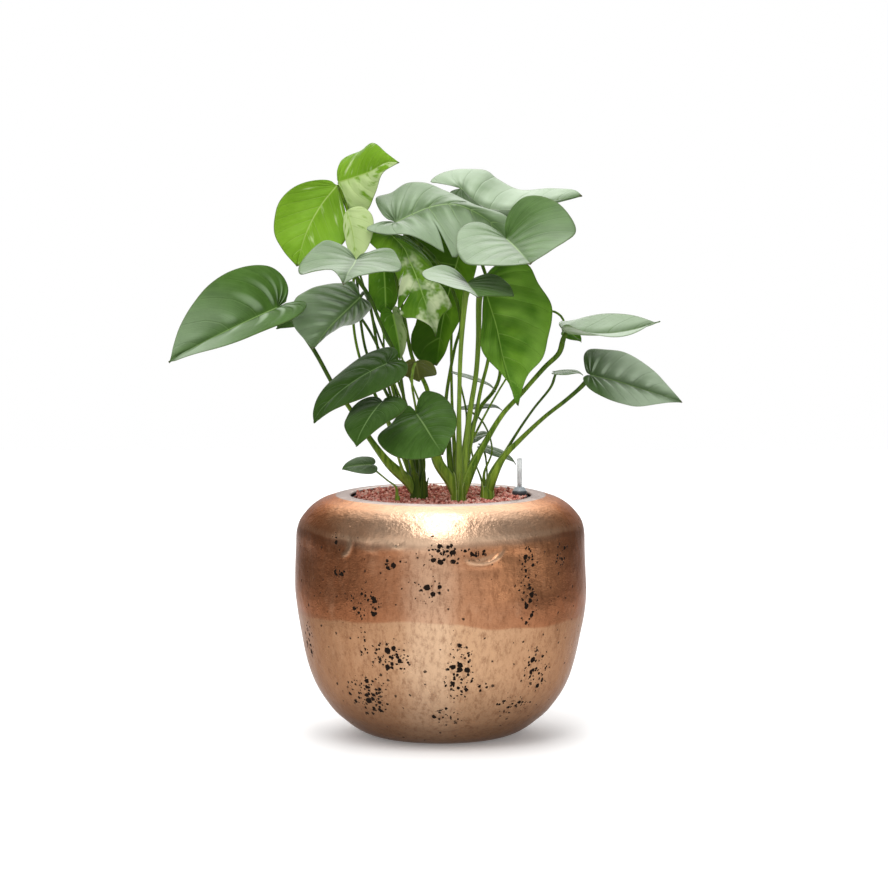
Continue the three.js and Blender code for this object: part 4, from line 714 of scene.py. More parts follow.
def leaf_material(name, seed, veins):
    family, cream_left, cream_right = LEAF_LOOKS.get(name, ("mid", 0, 0))
    green = GREENS[family]
    look = Look(name + "_tissue")
    leaf = look.add("Attribute", attribute_name="leaf")
    parts = look.add("SeparateXYZ", {0: leaf.outputs["Vector"]}).outputs
    t, s, upper = parts[0], parts[1], parts[2]
    reach = look.add("Attribute", attribute_name="rib").outputs["Fac"]
    rib = look.size(reach)
    # Side veins bend toward the tip; finer ones run between them
    bent = look.times(look.times(s, s), VEIN_BEND)
    phase = look.times(look.minus(t, bent), veins)
    wobble = look.times(look.minus(look.noise(40, 2), 0.5), 0.14)
    phase = look.plus(phase, wobble)

    def line(value, width):
        near = look.size(look.minus(look.math("FRACT", value), 0.5))
        return look.step(near, 0.5 - width, 0.5)

    side_vein = line(phase, 0.05)
    fine_vein = look.times(line(look.times(phase, 4), 0.09), 0.35)
    midrib = look.times(look.step(rib, 1.5, 0.4), look.step(t, 1.05, 0.6))
    inner = look.step(s, 0.9, 0.05)
    faint = VEIN_SHOW.get(name, 0.45 if family in ("young", "bright", "lush") else 0.12)
    vein = look.times(look.times(side_vein, faint), inner)
    vein = look.larger(vein, look.times(fine_vein, 0.3 * faint))
    vein = look.larger(vein, midrib)
    mottle = look.step(look.noise(26, 4, 0.55), 0.35, 0.7)
    fleck = look.noise(420, 2)
    tissue = look.mix(mottle, green["deep"], green["light"])
    tissue = look.mix(look.times(fleck, 0.35), tissue, green["light"])
    # Fine streaks run out along the veins
    along = look.add("CombineXYZ", {0: look.times(phase, 5.0), 1: look.times(s, 1.6),
                                    2: float(seed)}).outputs[0]
    streak = look.step(look.noise(1.0, 4, 0.6, vector=along), 0.3, 0.7)
    tissue = look.mix(look.times(streak, 0.4), tissue, look.mix(0.25, green["light"], green["vein"]))
    if name in SHADED:
        # Painted shade on the right half
        shade = look.times(look.step(reach, 1.0, -3.0), SHADED[name])
        tissue = look.mix(shade, tissue, (0.02, 0.05, 0.006))
    # The blade swells between its side veins
    wave = look.math("SINE", look.times(phase, 2 * math.pi))
    wave = look.times(wave, look.times(inner, look.step(rib, 1.0, 12.0)))
    swell = SWELL.get(name, 1.0)
    if cream_left or cream_right:
        if family == "lush":
            streaks = look.noise(34, 3, 0.6)
        else:
            streaks = look.noise(1.0, 3, 0.5, vector=look.add("CombineXYZ", {
                0: look.times(phase, 1.3), 1: look.times(s, 1.1), 2: float(seed)}).outputs[0])
        share = look.span(look.step(reach, -0.6, 0.6), float(cream_right), float(cream_left))
        level = look.minus(0.72, look.times(share, 0.42))
        patch = look.step(look.minus(streaks, level), -0.05, 0.09)
        if name == "leaf_split_young":
            patch = look.times(patch, look.step(t, 0.35, 0.6))
        cream = PALE_CREAM if family == "lush" else CREAM
        tissue = look.mix(look.times(patch, 0.85), tissue, cream)
    # Painted sheen: the leaves' pale reflection is mixed into their colour
    if name in PAINTED_SHEEN:
        left, right = PAINTED_SHEEN[name]
        if name in SHEEN_TIPS:
            left = look.span(t, left, SHEEN_TIPS[name], 0.35, 0.95)
        share = look.span(look.step(reach, *MIDRIB_EDGE), right, left)
        patchy = (0.42, 0.62) if family == "bright" else (-0.2, 0.55)
        haze_and_sheen = look.times(look.step(look.noise(18, 2), *patchy), share)
        # The painted sheen is left off along the midrib
        haze_and_sheen = look.times(haze_and_sheen, look.span(rib, 0.3, 1.0, 1.0, SHEEN_REACH.get(name, 16.0)))
        if name in SHEEN_FROM:
            # Toward the stalk only the swellings have the painted sheen
            ridge = look.step(wave, 0.1, -0.7)
            ridge = look.times(look.times(ridge, share), RIDGE_SHEEN.get(name, 0.3))
            haze_and_sheen = look.times(haze_and_sheen, look.step(t, *SHEEN_FROM[name]))
            haze_and_sheen = look.larger(haze_and_sheen, ridge)
        # The colour of the painted sheen
        tissue = look.mix(haze_and_sheen, tissue, (0.3, 0.54, 0.08) if family == "bright" else (0.46, 0.57, 0.41))
    # Painted shade: the blade is darker in its hollows and along the midrib
    hollow_shade = look.times(look.plus(look.times(wave, 0.5), 0.5),
                       min(0.28 * swell, 0.5))
    tissue = look.mix(hollow_shade, tissue, green["deep"])
    # Painted shade along the midrib
    fold = look.times(look.step(rib, 14.0, 1.0), 0.15 if family == "young" else 0.45)
    tissue = look.mix(fold, tissue, green["deep"])
    tissue = look.mix(vein, tissue, green["vein"])
    margin = look.times(look.step(s, 0.972, 0.992), 0.3 if name in PAINTED_SHEEN else 0.5)
    tissue = look.mix(margin, tissue, (0.1, 0.12, 0.04))
    tissue = look.mix(look.times(look.step(t, 0.972, 0.992), 0.75), tissue, (0.07, 0.06, 0.025))
    under = look.mix(look.times(vein, 0.6), green["under"], green["vein"])
    colour = look.mix(look.step(upper, 0.4, 0.6), under, tissue)
    height = look.minus(look.times(fleck, 0.1),
                       look.plus(look.times(side_vein, 0.7), fine_vein))
    normal = look.bump(height, 0.0007, 0.6)
    normal = look.bump(wave, -0.0007 * swell, 1.0, normal)
    normal = look.bump(look.noise(55, 3, 0.5), 0.0035, 0.3, normal)
    rough = look.span(look.noise(30, 3), 0.3, 0.46)
    gloss = 0.4 if name in PAINTED_SHEEN else 0.14
    if name in DULL:
        share = look.span(look.step(reach, *MIDRIB_EDGE), DULL[name][1], DULL[name][0])
        rough = look.plus(rough, look.times(share, 0.35))
        gloss = look.times(look.minus(1.0, look.times(share, 0.8)), gloss)
    skin = look.principled(Base_Color=colour, Roughness=rough, IOR=1.42, Specular_IOR_Level=gloss,
                           Normal=normal)
    through = look.add("BsdfTranslucent", {"Color": look.mix(0.5, colour, green["vein"])}).outputs[0]
    light_share = 0.3 if family in ("young", "bright", "lush") else 0.1
    both = look.add("MixShader", {0: light_share, 1: skin, 2: through})
    return look.done(both.outputs[0])


def stalk_material(name):
    look = Look(name + "_rind")
    at = look.axes()
    high = look.step(at[2], 0.31, 0.5)
    streak = look.step(look.noise(170, 4, 0.6, stretch=(1, 1, 0.06)), 0.3, 0.7)
    low = look.mix(streak, (0.045, 0.11, 0.004), (0.27, 0.4, 0.04))
    top = look.mix(streak, (0.03, 0.075, 0.004), (0.15, 0.26, 0.015))
    colour = look.mix(high, low, top)
    speck = look.step(look.noise(900, 2), 0.62, 0.7)
    colour = look.mix(look.times(speck, 0.35), colour, (0.3, 0.4, 0.16))
    sheath = look.add("Attribute", attribute_name="sheath").outputs["Fac"]
    # Each stalk has its own tone, from -1 to 0.4, the darkest being painted shade; the sheath's edges
    # are above that
    colour = look.mix(look.times(look.step(sheath, 0.0, -0.5), 0.7), colour, (0.018, 0.045, 0.006))
    colour = look.mix(look.times(look.step(sheath, 0.0, 0.4), 0.5), colour, (0.33, 0.46, 0.09))
    colour = look.mix(look.step(sheath, 0.4, 0.9), colour, (0.42, 0.52, 0.2))
    normal = look.bump(streak, 0.0004, 0.5)
    return look.done(look.principled(Base_Color=colour, Roughness=0.5, Specular_IOR_Level=0.1,
                                     Normal=normal))


def ring_faces(rows, columns):
    """Faces of a closed body made of rings of points, with a cap at each end."""
    faces = []
    for i in range(rows - 1):
        for k in range(columns):
            a, b = i * columns + k, i * columns + (k + 1) % columns
            faces.append([a, b, b + columns, a + columns])
    faces.append(list(range(columns))[::-1])
    faces.append([(rows - 1) * columns + k for k in range(columns)])
    return faces


def tube(path, radii, sides, bulge=None):
    """Rings of points round a path, closed at both ends. bulge swells each point of each ring."""
    ahead = unit(np.gradient(path, axis=0))
    across = np.array([0.0, 1.0, 0.0])
    rings = []
    angle = np.linspace(0, 2 * np.pi, sides, endpoint=False)[:, None]
    for i, (centre, way, radius) in enumerate(zip(path, ahead, radii)):
        across = unit(across - way * across.dot(way))
        other = np.cross(way, across)
        reach = radius * (1 + (0 if bulge is None else bulge[i][:, None]))
        rings.append(centre + reach * (across * np.cos(angle) + other * np.sin(angle)))
    return np.vstack(rings), ring_faces(len(path), sides)


def flap(x, y, radius, angle, height, width, paleness):
    """A thin pointed scale that wraps the foot of a clump; returns points, faces and paleness."""
    rows, columns = 14, 8
    v = np.linspace(0, 1, rows + 1)[:, None]
    u = np.linspace(-1, 1, columns + 1)[None, :]
    around = angle + u * width * np.sqrt(np.clip(1 - v ** 1.6, 0, 1))
    layers = []
    for off in (0.0, 0.7):
        r = radius * (1.02 - 0.34 * v + 0.3 * v ** 3) + off + 0.8 * (1 - u ** 2) * v
        layers.append(np.stack([x + r * np.cos(around), y + r * np.sin(around),
                                SOIL_TOP - 3 + height * v + 0 * u], -1).reshape(-1, 3))
    points = np.vstack(layers)
    width_count, total = columns + 1, (rows + 1) * (columns + 1)
    faces = []
    for i in range(rows):
        for j in range(columns):
            a = i * width_count + j
            faces.append([a, a + width_count, a + width_count + 1, a + 1])
            faces.append([total + a, total + a + 1,
                          total + a + width_count + 1, total + a + width_count])
    border = list(range(columns)) + [i * width_count + columns for i in range(rows)]
    border += [rows * width_count + columns - j for j in range(columns)]
    border += [(rows - i) * width_count for i in range(rows)]
    for a, b in zip(border, border[1:] + border[:1]):
        faces.append([a, b, b + total, a + total])
    pale = (paleness + 0.9 * np.abs(u) ** 6 + 0.15 * v).clip(-1, 1) * np.ones_like(v)
    return points, faces, np.concatenate([pale.ravel(), pale.ravel()])


class Bundle:
    """Several meshes gathered into one piece, with a number for each corner."""

    def __init__(self):
        self.points, self.faces, self.values, self.count = [], [], [], 0

    def add(self, points, faces, value=0.0):
        values = np.broadcast_to(value, (len(points),))
        self.faces += [[i + self.count for i in face] for face in faces]
        self.values += [float(values[i]) for face in faces for i in face]
        self.points.append(points)
        self.count += len(points)

    def piece(self, name, material, label="sheath"):
        return new_mesh(name, np.vstack(self.points), self.faces,
                        [(label, "FLOAT", self.values)], material)


def stalk_end(name):
    leaf = LEAVES[name]
    return front(leaf.get("attach") or leaf["rib"][0])


# Tone of a stalk at its foot, from -1 for dark to 0.4 for pale, and how much the foot swells; the
# darkest tones, on the left clump, are painted shade
STALK_LOOKS = {
    "leaf_far_left": (0.22, 0.3), "leaf_split_young": (0.12, 0.34), "leaf_right_upper": (0.1, 0.25),
    "leaf_right_lower": (0.05, 0.2), "leaf_hanging_right": (0.2, 0.15),
    "leaf_pale_left": (-0.8, 0.3), "leaf_under_left": (-0.8, 0.3), "leaf_top_left": (-0.1, 0.3),
    "leaf_top_crown": (-0.6, 0.3), "leaf_behind_left": (-0.8, 0.3), "leaf_low_front": (-0.9, 0.3),
    "leaf_olive": (0.2, 0.5), "leaf_shoulder_right": (0.1, 0.2), "leaf_upper_right": (-0.3, 0.2),
}
# Its tone just below the leaf, where it changes on the way up
STALK_TOPS = {
    "leaf_far_left": -0.9, "leaf_right_lower": -0.5, "leaf_right_upper": -0.35, "leaf_tiny_right": -0.6,
    "leaf_split_young": -0.4,
}
# Scales round a clump's foot: how many, the tallest in mm, and how pale
# The left clump's scales are dark: painted shade
FLAPS = {"stalks_left": (8, 44, -0.9), "stalks_middle": (8, 48, 0.0), "stalks_right": (4, 30, -0.1)}


def stalks_piece(name, post, stalks):
    x, y, radius = post
    collar = 12 if radius > 6 else 3
    bundle = Bundle()
    heights = np.array([POST_BOTTOM, 260, SOIL_TOP - 4, SOIL_TOP + 1.5, SOIL_TOP + 2.4 + collar * 0.55,
                        SOIL_TOP + 2.4 + collar])
    radii = radius * np.array([1, 1, 1, 0.99, 0.88, 0.66])
    profile = Curve(np.stack([heights, radii], -1)).by_length(np.linspace(0, 1, 40))
    path = np.stack([np.full(40, x), np.full(40, y), profile[:, 0]], -1)
    # The left clump's post is dark: painted shade
    bundle.add(*tube(path, profile[:, 1], 24), -0.7 if name == "stalks_left" else 0.1)
    for leaf, base, end_radius, *seen in stalks:
        first = front(seen[0])
        start = np.array([x + (first[0] - x) * 0.3, y + (first[1] - y) * 0.3, SOIL_TOP + collar / 2])
        path = [start, *(front(p) for p in seen)]
        end = stalk_end(leaf)
        path.append(end + unit(path[-1] - end) * 0.9)
        steps = 64
        share = np.linspace(0, 1, steps)
        line = Curve(path).by_length(share)
        slim = 1 - 0.32 * np.sin(np.pi * np.clip(share * 1.15, 0, 1))
        radii = (end_radius + (base - end_radius) * (1 - share) ** 1.6) * slim
        # A slightly swollen joint just below the leaf
        radii = radii * (1 + 0.16 * np.exp(-((share - 0.93) / 0.035) ** 2))
        radii = radii * (1 - 0.25 * (share > 0.985))
        # The sheath's two pale edges, a groove apart, run up the lower part and fade out
        tone, swell = STALK_LOOKS.get(leaf, (RNG.uniform(-0.35, 0.3), 0.2))
        radii = radii * (1 + swell * np.exp(-((share - 0.12) / 0.1) ** 2)
                         - 0.2 * np.exp(-((share / 0.06) ** 2)))
        sides = 24 if base > 2.7 else 14
        turn = np.linspace(0, 2 * np.pi, sides, endpoint=False)
        fins = sum(np.exp(-((turn - at) / 0.17) ** 2) for at in (0.42 * np.pi, 0.8 * np.pi))
        fade = np.clip(1 - share / 0.6, 0, 1) ** 0.5 * (base > 2.7)
        fin = fade[:, None] * fins[None, :]
        tones = (tone + (STALK_TOPS.get(leaf, tone) - tone) * share)[:, None] + 0 * turn[None, :]
        tones = tones + (1 - tones) * fin ** 2
        bundle.add(*tube(line, radii, sides, bulge=0.2 * fin), tones.ravel())
    if radius > 6:
        count, tallest, pale = FLAPS[name]
        for k in range(count):
            tall = RNG.uniform(20, tallest)
            bundle.add(*flap(x, y, radius, k * 2.4 + x, tall, RNG.uniform(0.35, 0.65), pale))
    obj = bundle.piece(name.replace("stalk", "stem"), stalk_material(name))
    return dress(obj, name)


# The photograph's pot mirrors none of the plant above it, so the plant stays out of reflections
for seed, (leaf_name, leaf_shape) in enumerate(LEAVES.items(), 1):
    leaf_piece(leaf_name, leaf_shape, seed).visible_glossy = False
for plantlet_name, plantlet in PLANTLETS.items():
    stalks_piece(plantlet_name, plantlet["post"], plantlet["stalks"]).visible_glossy = False


# Pot
POT_OUTSIDE = [
    (0, 0), (66, 0), (82, 1), (95, 4.6), (108, 11), (122, 21.5), (134, 32), (144, 44.5),
    (152, 56.5), (159, 70), (165, 86), (170, 104), (175.5, 130), (180, 154), (182.4, 180),
    (182, 205), (181, 238), (180.2, 257), (176.5, 270), (170, 279.5), (162, 288), (150, 296),
    (140, 299.6), (131, 302.4), (122, 304), (113.4, 302.4), (112.6, 300),
]
POT_INSIDE = [
    (112.6, 300), (113.4, 292), (118, 291), (134, 296), (148, 291), (165, 279), (176.6, 256),
    (178.8, 180), (170, 120), (148.6, 57), (106, 15.6), (60, 5), (0, 5),
]
# Dents and ridges of the hand-worked shell: across and up on the picture, size, depth in mm
POT_DENTS = [
    (-124, 243, 16, 12, -2.2), (-168, 222, 12, 22, -2.0), (52, 222, 26, 7, 1.6), (46, 212, 24, 6, -1.4),
    (-60, 236, 30, 6, 1.0), (8, 240, 34, 5, 0.9), (92, 226, 16, 10, -1.4), (-176, 132, 10, 26, -1.6),
    (120, 190, 14, 20, -0.8), (-96, 246, 18, 5, 1.0), (-20, 232, 22, 8, -1.0), (150, 236, 20, 8, -1.2),
]


# Creases of the shell: centre across and up on the picture, radius, the angles where the arc runs
# in degrees, and the ridge's height in mm
CREASES = [
    (50, 247, 32, 228, 338, 2.6), (44, 258, 38, 250, 318, 1.0), (-52, 262, 25, 225, 300, 1.6),
    (-131, 240, 17, 290, 400, 1.4), (-84, 262, 30, 235, 285, 0.9),
]


def on_shell(across, up):
    """The point of the pot's front that is seen there on the picture, in mm."""
    depth = -180.0
    outside = np.array(POT_OUTSIDE[1:-2], float)
    for _ in range(6):
        point = front((across, up, depth))
        radius = np.interp(point[2], outside[:, 1], outside[:, 0])
        depth = -math.sqrt(max(radius ** 2 - point[0] ** 2, 0))
    return front((across, up, depth))


def pot_relief(angle, z):
    """Outward bulge of the shell at an angle and height, in mm."""
    x, y = 182 * np.cos(angle), 182 * np.sin(angle)
    bulge = 0.5 * np.sin(3 * angle + 1.1) * np.sin(z / 47) + 0.35 * np.sin(7 * angle + z / 21)
    for across, up, wide, tall, depth in POT_DENTS:
        near = np.exp(-((x - across) / wide) ** 2 - ((z - up - 18) / tall) ** 2)
        bulge = bulge + depth * near * np.where(y < 0, 1, 0.5)
    for across, up, size, start, stop, height in CREASES:
        centre = on_shell(across, up)
        dx, dz = x - centre[0], z - centre[2]
        middle, half = math.radians((start + stop) / 2), math.radians((stop - start) / 2)
        turn = np.arctan2(dz, dx) - middle
        turn = np.abs((turn + np.pi) % (2 * np.pi) - np.pi)
        run = np.clip((half - turn) / 0.5, 0, 1) * (y < 0)
        off = np.hypot(dx, dz) - size
        ridge = np.exp(-(off / 2.6) ** 2) - 0.6 * np.exp(-((off + 5.5) / 3.2) ** 2)
        bulge = bulge + height * ridge * run
    return bulge * np.clip(z / 60, 0, 1) * np.clip((288 - z) / 22, 0, 1)


def lathe_points(profile, angles):
    r, z = np.asarray(profile, float).T[:, :, None]
    return r * np.cos(angles), r * np.sin(angles), z + 0 * angles


def turns(sides):
    return np.linspace(0, 2 * np.pi, sides, endpoint=False)[None, :]


def lathe_piece(name, profile, material, sides=64, centre=(0, 0)):
    x, y, z = lathe_points(profile, turns(sides))
    points = np.stack([x + centre[0], y + centre[1], z], -1).reshape(-1, 3)
    return new_mesh(name, points, ring_faces(len(profile), sides), material=material)


def pot_piece():
    # The front half, which carries the creases, has twice as many columns as the back
    front_sides, back_sides = POT_COLUMNS
    angles = np.concatenate([np.linspace(np.pi, 2 * np.pi, front_sides, endpoint=False),
                             np.linspace(0, np.pi, back_sides, endpoint=False) + 2 * np.pi])[None, :]
    outside = Curve(POT_OUTSIDE[1:]).by_length(np.linspace(0, 1, POT_ROWS))
    inside = Curve(POT_INSIDE[:-1]).by_length(np.linspace(0, 1, 38))[1:]
    profile = np.vstack([outside, inside])
    x, y, z = lathe_points(profile, angles)
    radius = profile[:, :1]
    shell = np.arange(len(profile))[:, None] < POT_ROWS
    bulge = np.where(shell, pot_relief(angles, z), 0)
    scale = (radius + bulge) / radius
    points = np.stack([x * scale, y * scale, z], -1).reshape(-1, 3)
    faces = ring_faces(len(profile), front_sides + back_sides)
    dress(new_mesh("bronze_pot", points, faces, material=bronze()), "pot")


# Clusters of black pits: across and up on the picture, then half width and half height, in mm
PIT_CLUSTERS = [
    (-129, 241, 10, 15), (-126, 201, 10, 9), (-94, 165, 24, 19), (-16, 182, 17, 20),
    (6, 226, 26, 16), (110, 194, 14, 52), (-96, 112, 9, 22), (-66, 99, 26, 22), (-89, 48, 26, 30),
    (24, 79, 20, 42), (5, 22, 20, 12), (121, 82, 18, 30), (90, 38, 24, 12), (40, 226, 20, 8),
    (-60, 214, 16, 10), (150, 226, 8, 16), (-165, 120, 6, 30), (52, 60, 10, 8),
]


def bronze():
    look = Look("bronze_worked")
    at = look.axes()
    height = at[2]
    # The darker band: its edges wander a little
    wander = look.times(look.minus(look.noise(7, 3, 0.55), 0.5), 0.022)
    level = look.plus(height, wander)
    sag = look.step(look.size(at[0]), 0.05, 0.16, 0.0, 0.006)
    sag = look.plus(sag, look.step(at[0], 0.02, 0.06, 0.0, 0.005))
    lower_edge = look.step(look.plus(level, sag), 0.1625, 0.1665)
    upper_edge = look.step(level, 0.268, 0.262)
    band = look.times(lower_edge, upper_edge)
    cloud = look.noise(12, 4, 0.6)
    smudge = look.noise(34, 5, 0.65, stretch=(1, 1, 0.6))
    fine = look.noise(150, 5, 0.75, stretch=(1, 1, 0.5))
    brushed = look.noise(240, 3, 0.6, stretch=(1, 1, 3))
    gold = look.mix(cloud, (0.26, 0.125, 0.06), (0.4, 0.215, 0.115))
    # Painted highlight: a lighter patch on the front of the lower body and the band
    front_highlight = look.plus(look.size(look.minus(at[0], 0.02)),
                     look.times(look.minus(smudge, 0.5), 0.06))
    front_highlight = look.times(look.step(front_highlight, 0.15, 0.0), look.step(at[1], 0.0, -0.1))
    gold = look.mix(look.times(front_highlight, 0.55), gold, (0.7, 0.45, 0.27))
    copper = look.mix(cloud, (0.42, 0.175, 0.075), (0.58, 0.29, 0.15))
    brown = look.mix(cloud, (0.2, 0.064, 0.026), (0.33, 0.135, 0.062))
    brown = look.mix(look.times(front_highlight, 0.4), brown, (0.62, 0.34, 0.19))
    # The band is lighter on its right, and a painted highlight runs down the front as a pale streak
    flank = look.size(look.minus(at[0], 0.1))
    flank = look.times(look.step(flank, 0.06, 0.02), look.step(level, 0.182, 0.2))
    brown = look.mix(look.times(flank, 0.5), brown, (0.64, 0.29, 0.135))
    colour = look.mix(look.step(level, 0.2, 0.23), gold, copper)
    colour = look.mix(band, colour, brown)
    # Painted highlight down the front
    streak = look.plus(look.size(look.minus(at[0], -0.012)),
                       look.times(look.minus(smudge, 0.5), 0.03))
    streak = look.times(look.step(streak, 0.045, 0.01), look.step(at[1], 0.0, -0.1))
    colour = look.mix(look.times(streak, 0.26), colour, (0.84, 0.64, 0.46))
    # Painted highlight: a thin bright line along the top of the band, with painted shade just below it
    lip_highlight = look.times(look.step(level, 0.262, 0.266), look.step(level, 0.273, 0.268))
    colour = look.mix(look.times(lip_highlight, 0.3), colour, (0.8, 0.55, 0.36))
    # Painted shade just below the line
    lip_shade = look.times(look.step(level, 0.256, 0.26), look.step(level, 0.264, 0.261))
    colour = look.mix(look.times(lip_shade, 0.35), colour, (0.12, 0.045, 0.02))
    colour = look.mix(look.times(look.step(smudge, 0.5, 0.75), 0.14), colour, (0.8, 0.52, 0.33))
    colour = look.mix(look.times(look.step(fine, 0.56, 0.3), 0.55), colour, (0.15, 0.055, 0.024))
    # Painted shade: darker towards the foot
    foot_shade = look.step(height, 0.11, 0.0)
    scratch = look.noise(70, 5, 0.7, stretch=(1, 1, 0.15))
    colour = look.mix(look.times(look.step(scratch, 0.45, 0.25), 0.4), colour, (0.16, 0.065, 0.03))
    colour = look.mix(look.times(foot_shade, 0.62), colour, (0.11, 0.055, 0.03))
    # Painted highlight on the front of the shoulder and painted shade to its sides; the sides below the
    # band get a little painted shade too
    aside = look.plus(look.size(look.minus(at[0], 0.01)),
                      look.times(look.minus(look.noise(16, 5, 0.65), 0.5), 0.07))
    shoulder = look.step(level, 0.252, 0.268)
    shoulder_highlight = look.times(look.times(shoulder, look.step(aside, 0.165, 0.06)), 0.6)
    shoulder_highlight = look.times(shoulder_highlight, look.step(at[1], 0.0, -0.08))
    colour = look.mix(shoulder_highlight, colour, (0.84, 0.6, 0.42))
    shoulder_side_shade = look.times(look.times(shoulder, look.step(aside, 0.12, 0.155)), 0.6)
    colour = look.mix(shoulder_side_shade, colour, look.mix(smudge, (0.26, 0.085, 0.034), (0.42, 0.17, 0.08)))
    # Painted shade on the sides below the band
    edge = look.times(look.step(aside, 0.1, 0.17), look.step(level, 0.168, 0.16))
    colour = look.mix(look.times(edge, 0.4), colour, (0.15, 0.075, 0.04))
    # The pale crowned rim
    out = look.vector("MULTIPLY", look.coordinates, (1, 1, 0))
    radius = look.vector("LENGTH", out, output="Value")
    rim = look.times(look.step(radius, 0.1325, 0.1305), look.step(height, 0.292, 0.297))
    colour = look.mix(rim, colour, look.mix(smudge, (0.36, 0.32, 0.285), (0.56, 0.525, 0.49)))
    # Pits: torn cells of two sizes inside the clusters, and a few small ones all over
    mask = look.step(look.noise(13, 2, 0.5), 0.6, 0.72)
    mask = look.times(mask, look.step(at[1], -0.03, 0.05))
    mask = look.times(mask, look.step(height, 0.275, 0.25))
    torn = look.add("TexNoise", {"Vector": look.coordinates, "Scale": 260.0, "Detail": 2.0})
    torn = look.vector("SUBTRACT", torn.outputs["Color"], (0.5, 0.5, 0.5))
    shift = look.vector("MULTIPLY", torn, (0.0034, 0.0034, 0.0034))
    place = look.vector("ADD", look.coordinates, shift)
    ragged = look.times(look.minus(smudge, 0.5), 1.1)
    for across, up, wide, tall in PIT_CLUSTERS:
        centre = on_shell(across, up) * MM
        offset = look.vector("SUBTRACT", look.coordinates, tuple(centre))
        scale = (1 / (wide * MM), 1 / (0.06 if wide > 12 else 0.03), 1 / (tall * MM))
        offset = look.vector("MULTIPLY", offset, scale)
        length = look.vector("LENGTH", offset, output="Value")
        mask = look.larger(mask, look.step(look.plus(length, ragged), 1.35, 0.6))
    pits = None
    for scale in PIT_SCALES:
        cell = look.add("TexVoronoi", {"Vector": place, "Scale": scale, "Randomness": 1.0})
        chance = look.add("SeparateColor", {0: cell.outputs["Color"]}).outputs[0]
        size = look.span(chance, -0.1)
        size = look.times(look.times(size, mask), 0.5)
        hole = look.step(look.minus(cell.outputs["Distance"], size), 0.05, -0.03)
        hole = look.times(hole, look.step(size, 0.05, 0.12))
        pits = hole if pits is None else look.larger(pits, hole)
    cell = look.add("TexVoronoi", {"Vector": place, "Scale": 110.0, "Randomness": 1.0})
    chance = look.add("SeparateColor", {0: cell.outputs["Color"]}).outputs[0]
    size = look.span(chance, 0.0, 0.24, 0.6)
    lone = look.times(look.step(look.minus(cell.outputs["Distance"], size), 0.02, -0.02),
                     look.step(size, 0.02, 0.06))
    lone = look.times(lone, look.step(height, 0.285, 0.27))
    pits = look.larger(pits, look.times(lone, 0.85))
    colour = look.mix(pits, colour, (0.012, 0.008, 0.006))
    # Painted highlight along the ridges of the creases
    crease_highlight = None
    for across, up, radius_mm, start, stop, _height in CREASES:
        centre = on_shell(across, up) * MM
        arc = math.radians((start + stop) / 2)
        flat = look.vector("SUBTRACT", look.coordinates, tuple(centre))
        flat = look.vector("MULTIPLY", flat, (1, 0, 1))
        length = look.vector("LENGTH", flat, output="Value")
        way = look.vector("DOT_PRODUCT", flat, (math.cos(arc), 0, math.sin(arc)), "Value")
        angle = look.math("DIVIDE", way, look.larger(length, 0.001))
        limit = math.cos(math.radians((stop - start) / 2))
        ragged = look.plus(length, look.times(look.minus(smudge, 0.5), 0.006))
        off = look.size(look.minus(ragged, radius_mm * MM))
        line = look.times(look.step(off, 0.0045, 0.0), look.step(angle, limit - 0.04, limit + 0.3))
        crease_highlight = line if crease_highlight is None else look.larger(crease_highlight, line)
    crease_highlight = look.times(crease_highlight, look.step(at[1], 0.0, -0.03))
    colour = look.mix(look.times(crease_highlight, 0.35), colour, (0.84, 0.62, 0.42))
    rough = look.span(smudge, 0.2, 0.42)
    rough = look.larger(rough, look.times(pits, 0.9))
    metal = look.minus(1.0, pits)
    normal = look.bump(brushed, 0.0006, 0.45)
    normal = look.bump(look.noise(26, 4, 0.6), 0.006, 0.3, normal)
    hammered = look.times(look.noise(110, 4, 0.65), look.step(height, 0.21, 0.27))
    normal = look.bump(hammered, 0.0016, 0.5, normal)
    normal = look.bump(look.minus(1.0, pits), 0.003, 1.0, normal)
    gloss = look.minus(0.5, look.times(pits, 0.45))
    # At a grazing angle the metal keeps its brown instead of turning white, most on the shoulder
    grazing = look.mix(look.step(height, 0.262, 0.285), (0.72, 0.65, 0.62), (0.48, 0.41, 0.4))
    return look.done(look.principled(Base_Color=colour, Metallic=metal, Roughness=rough,
                                     Specular_IOR_Level=gloss, Specular_Tint=grazing, Normal=normal))


# Culture pot, riser and granules
CULTURE_PROFILE = [
    (96, 109), (108, 295), (110.6, 295), (110.6, 299), (107.4, 299), (106.4, 294), (94.4, 111),
]


def plastic(name, colour, rough, gloss=0.5):
    look = Look(name)
    tone = look.noise(22, 3)
    shade = look.mix(tone, colour, tuple(min(1, c * 1.6 + 0.01) for c in colour))
    normal = look.bump(look.noise(700, 2), 0.0002, 0.4)
    return look.done(look.principled(Base_Color=shade, Roughness=rough, Specular_IOR_Level=gloss,
                                     Normal=normal))


def culture_piece():
    # Rows close to each corner keep it crisp
    corners = np.array(CULTURE_PROFILE, float)
    profile = [a + (b - a) * w for a, b in zip(corners, corners[1:]) for w in (0.02, 0.5, 0.98)]
    black = plastic("insert_plastic", (0.006, 0.006, 0.007), 0.8, gloss=0.1)
    dress(lathe_piece("culture_insert", profile, black, 160), "culture_pot")


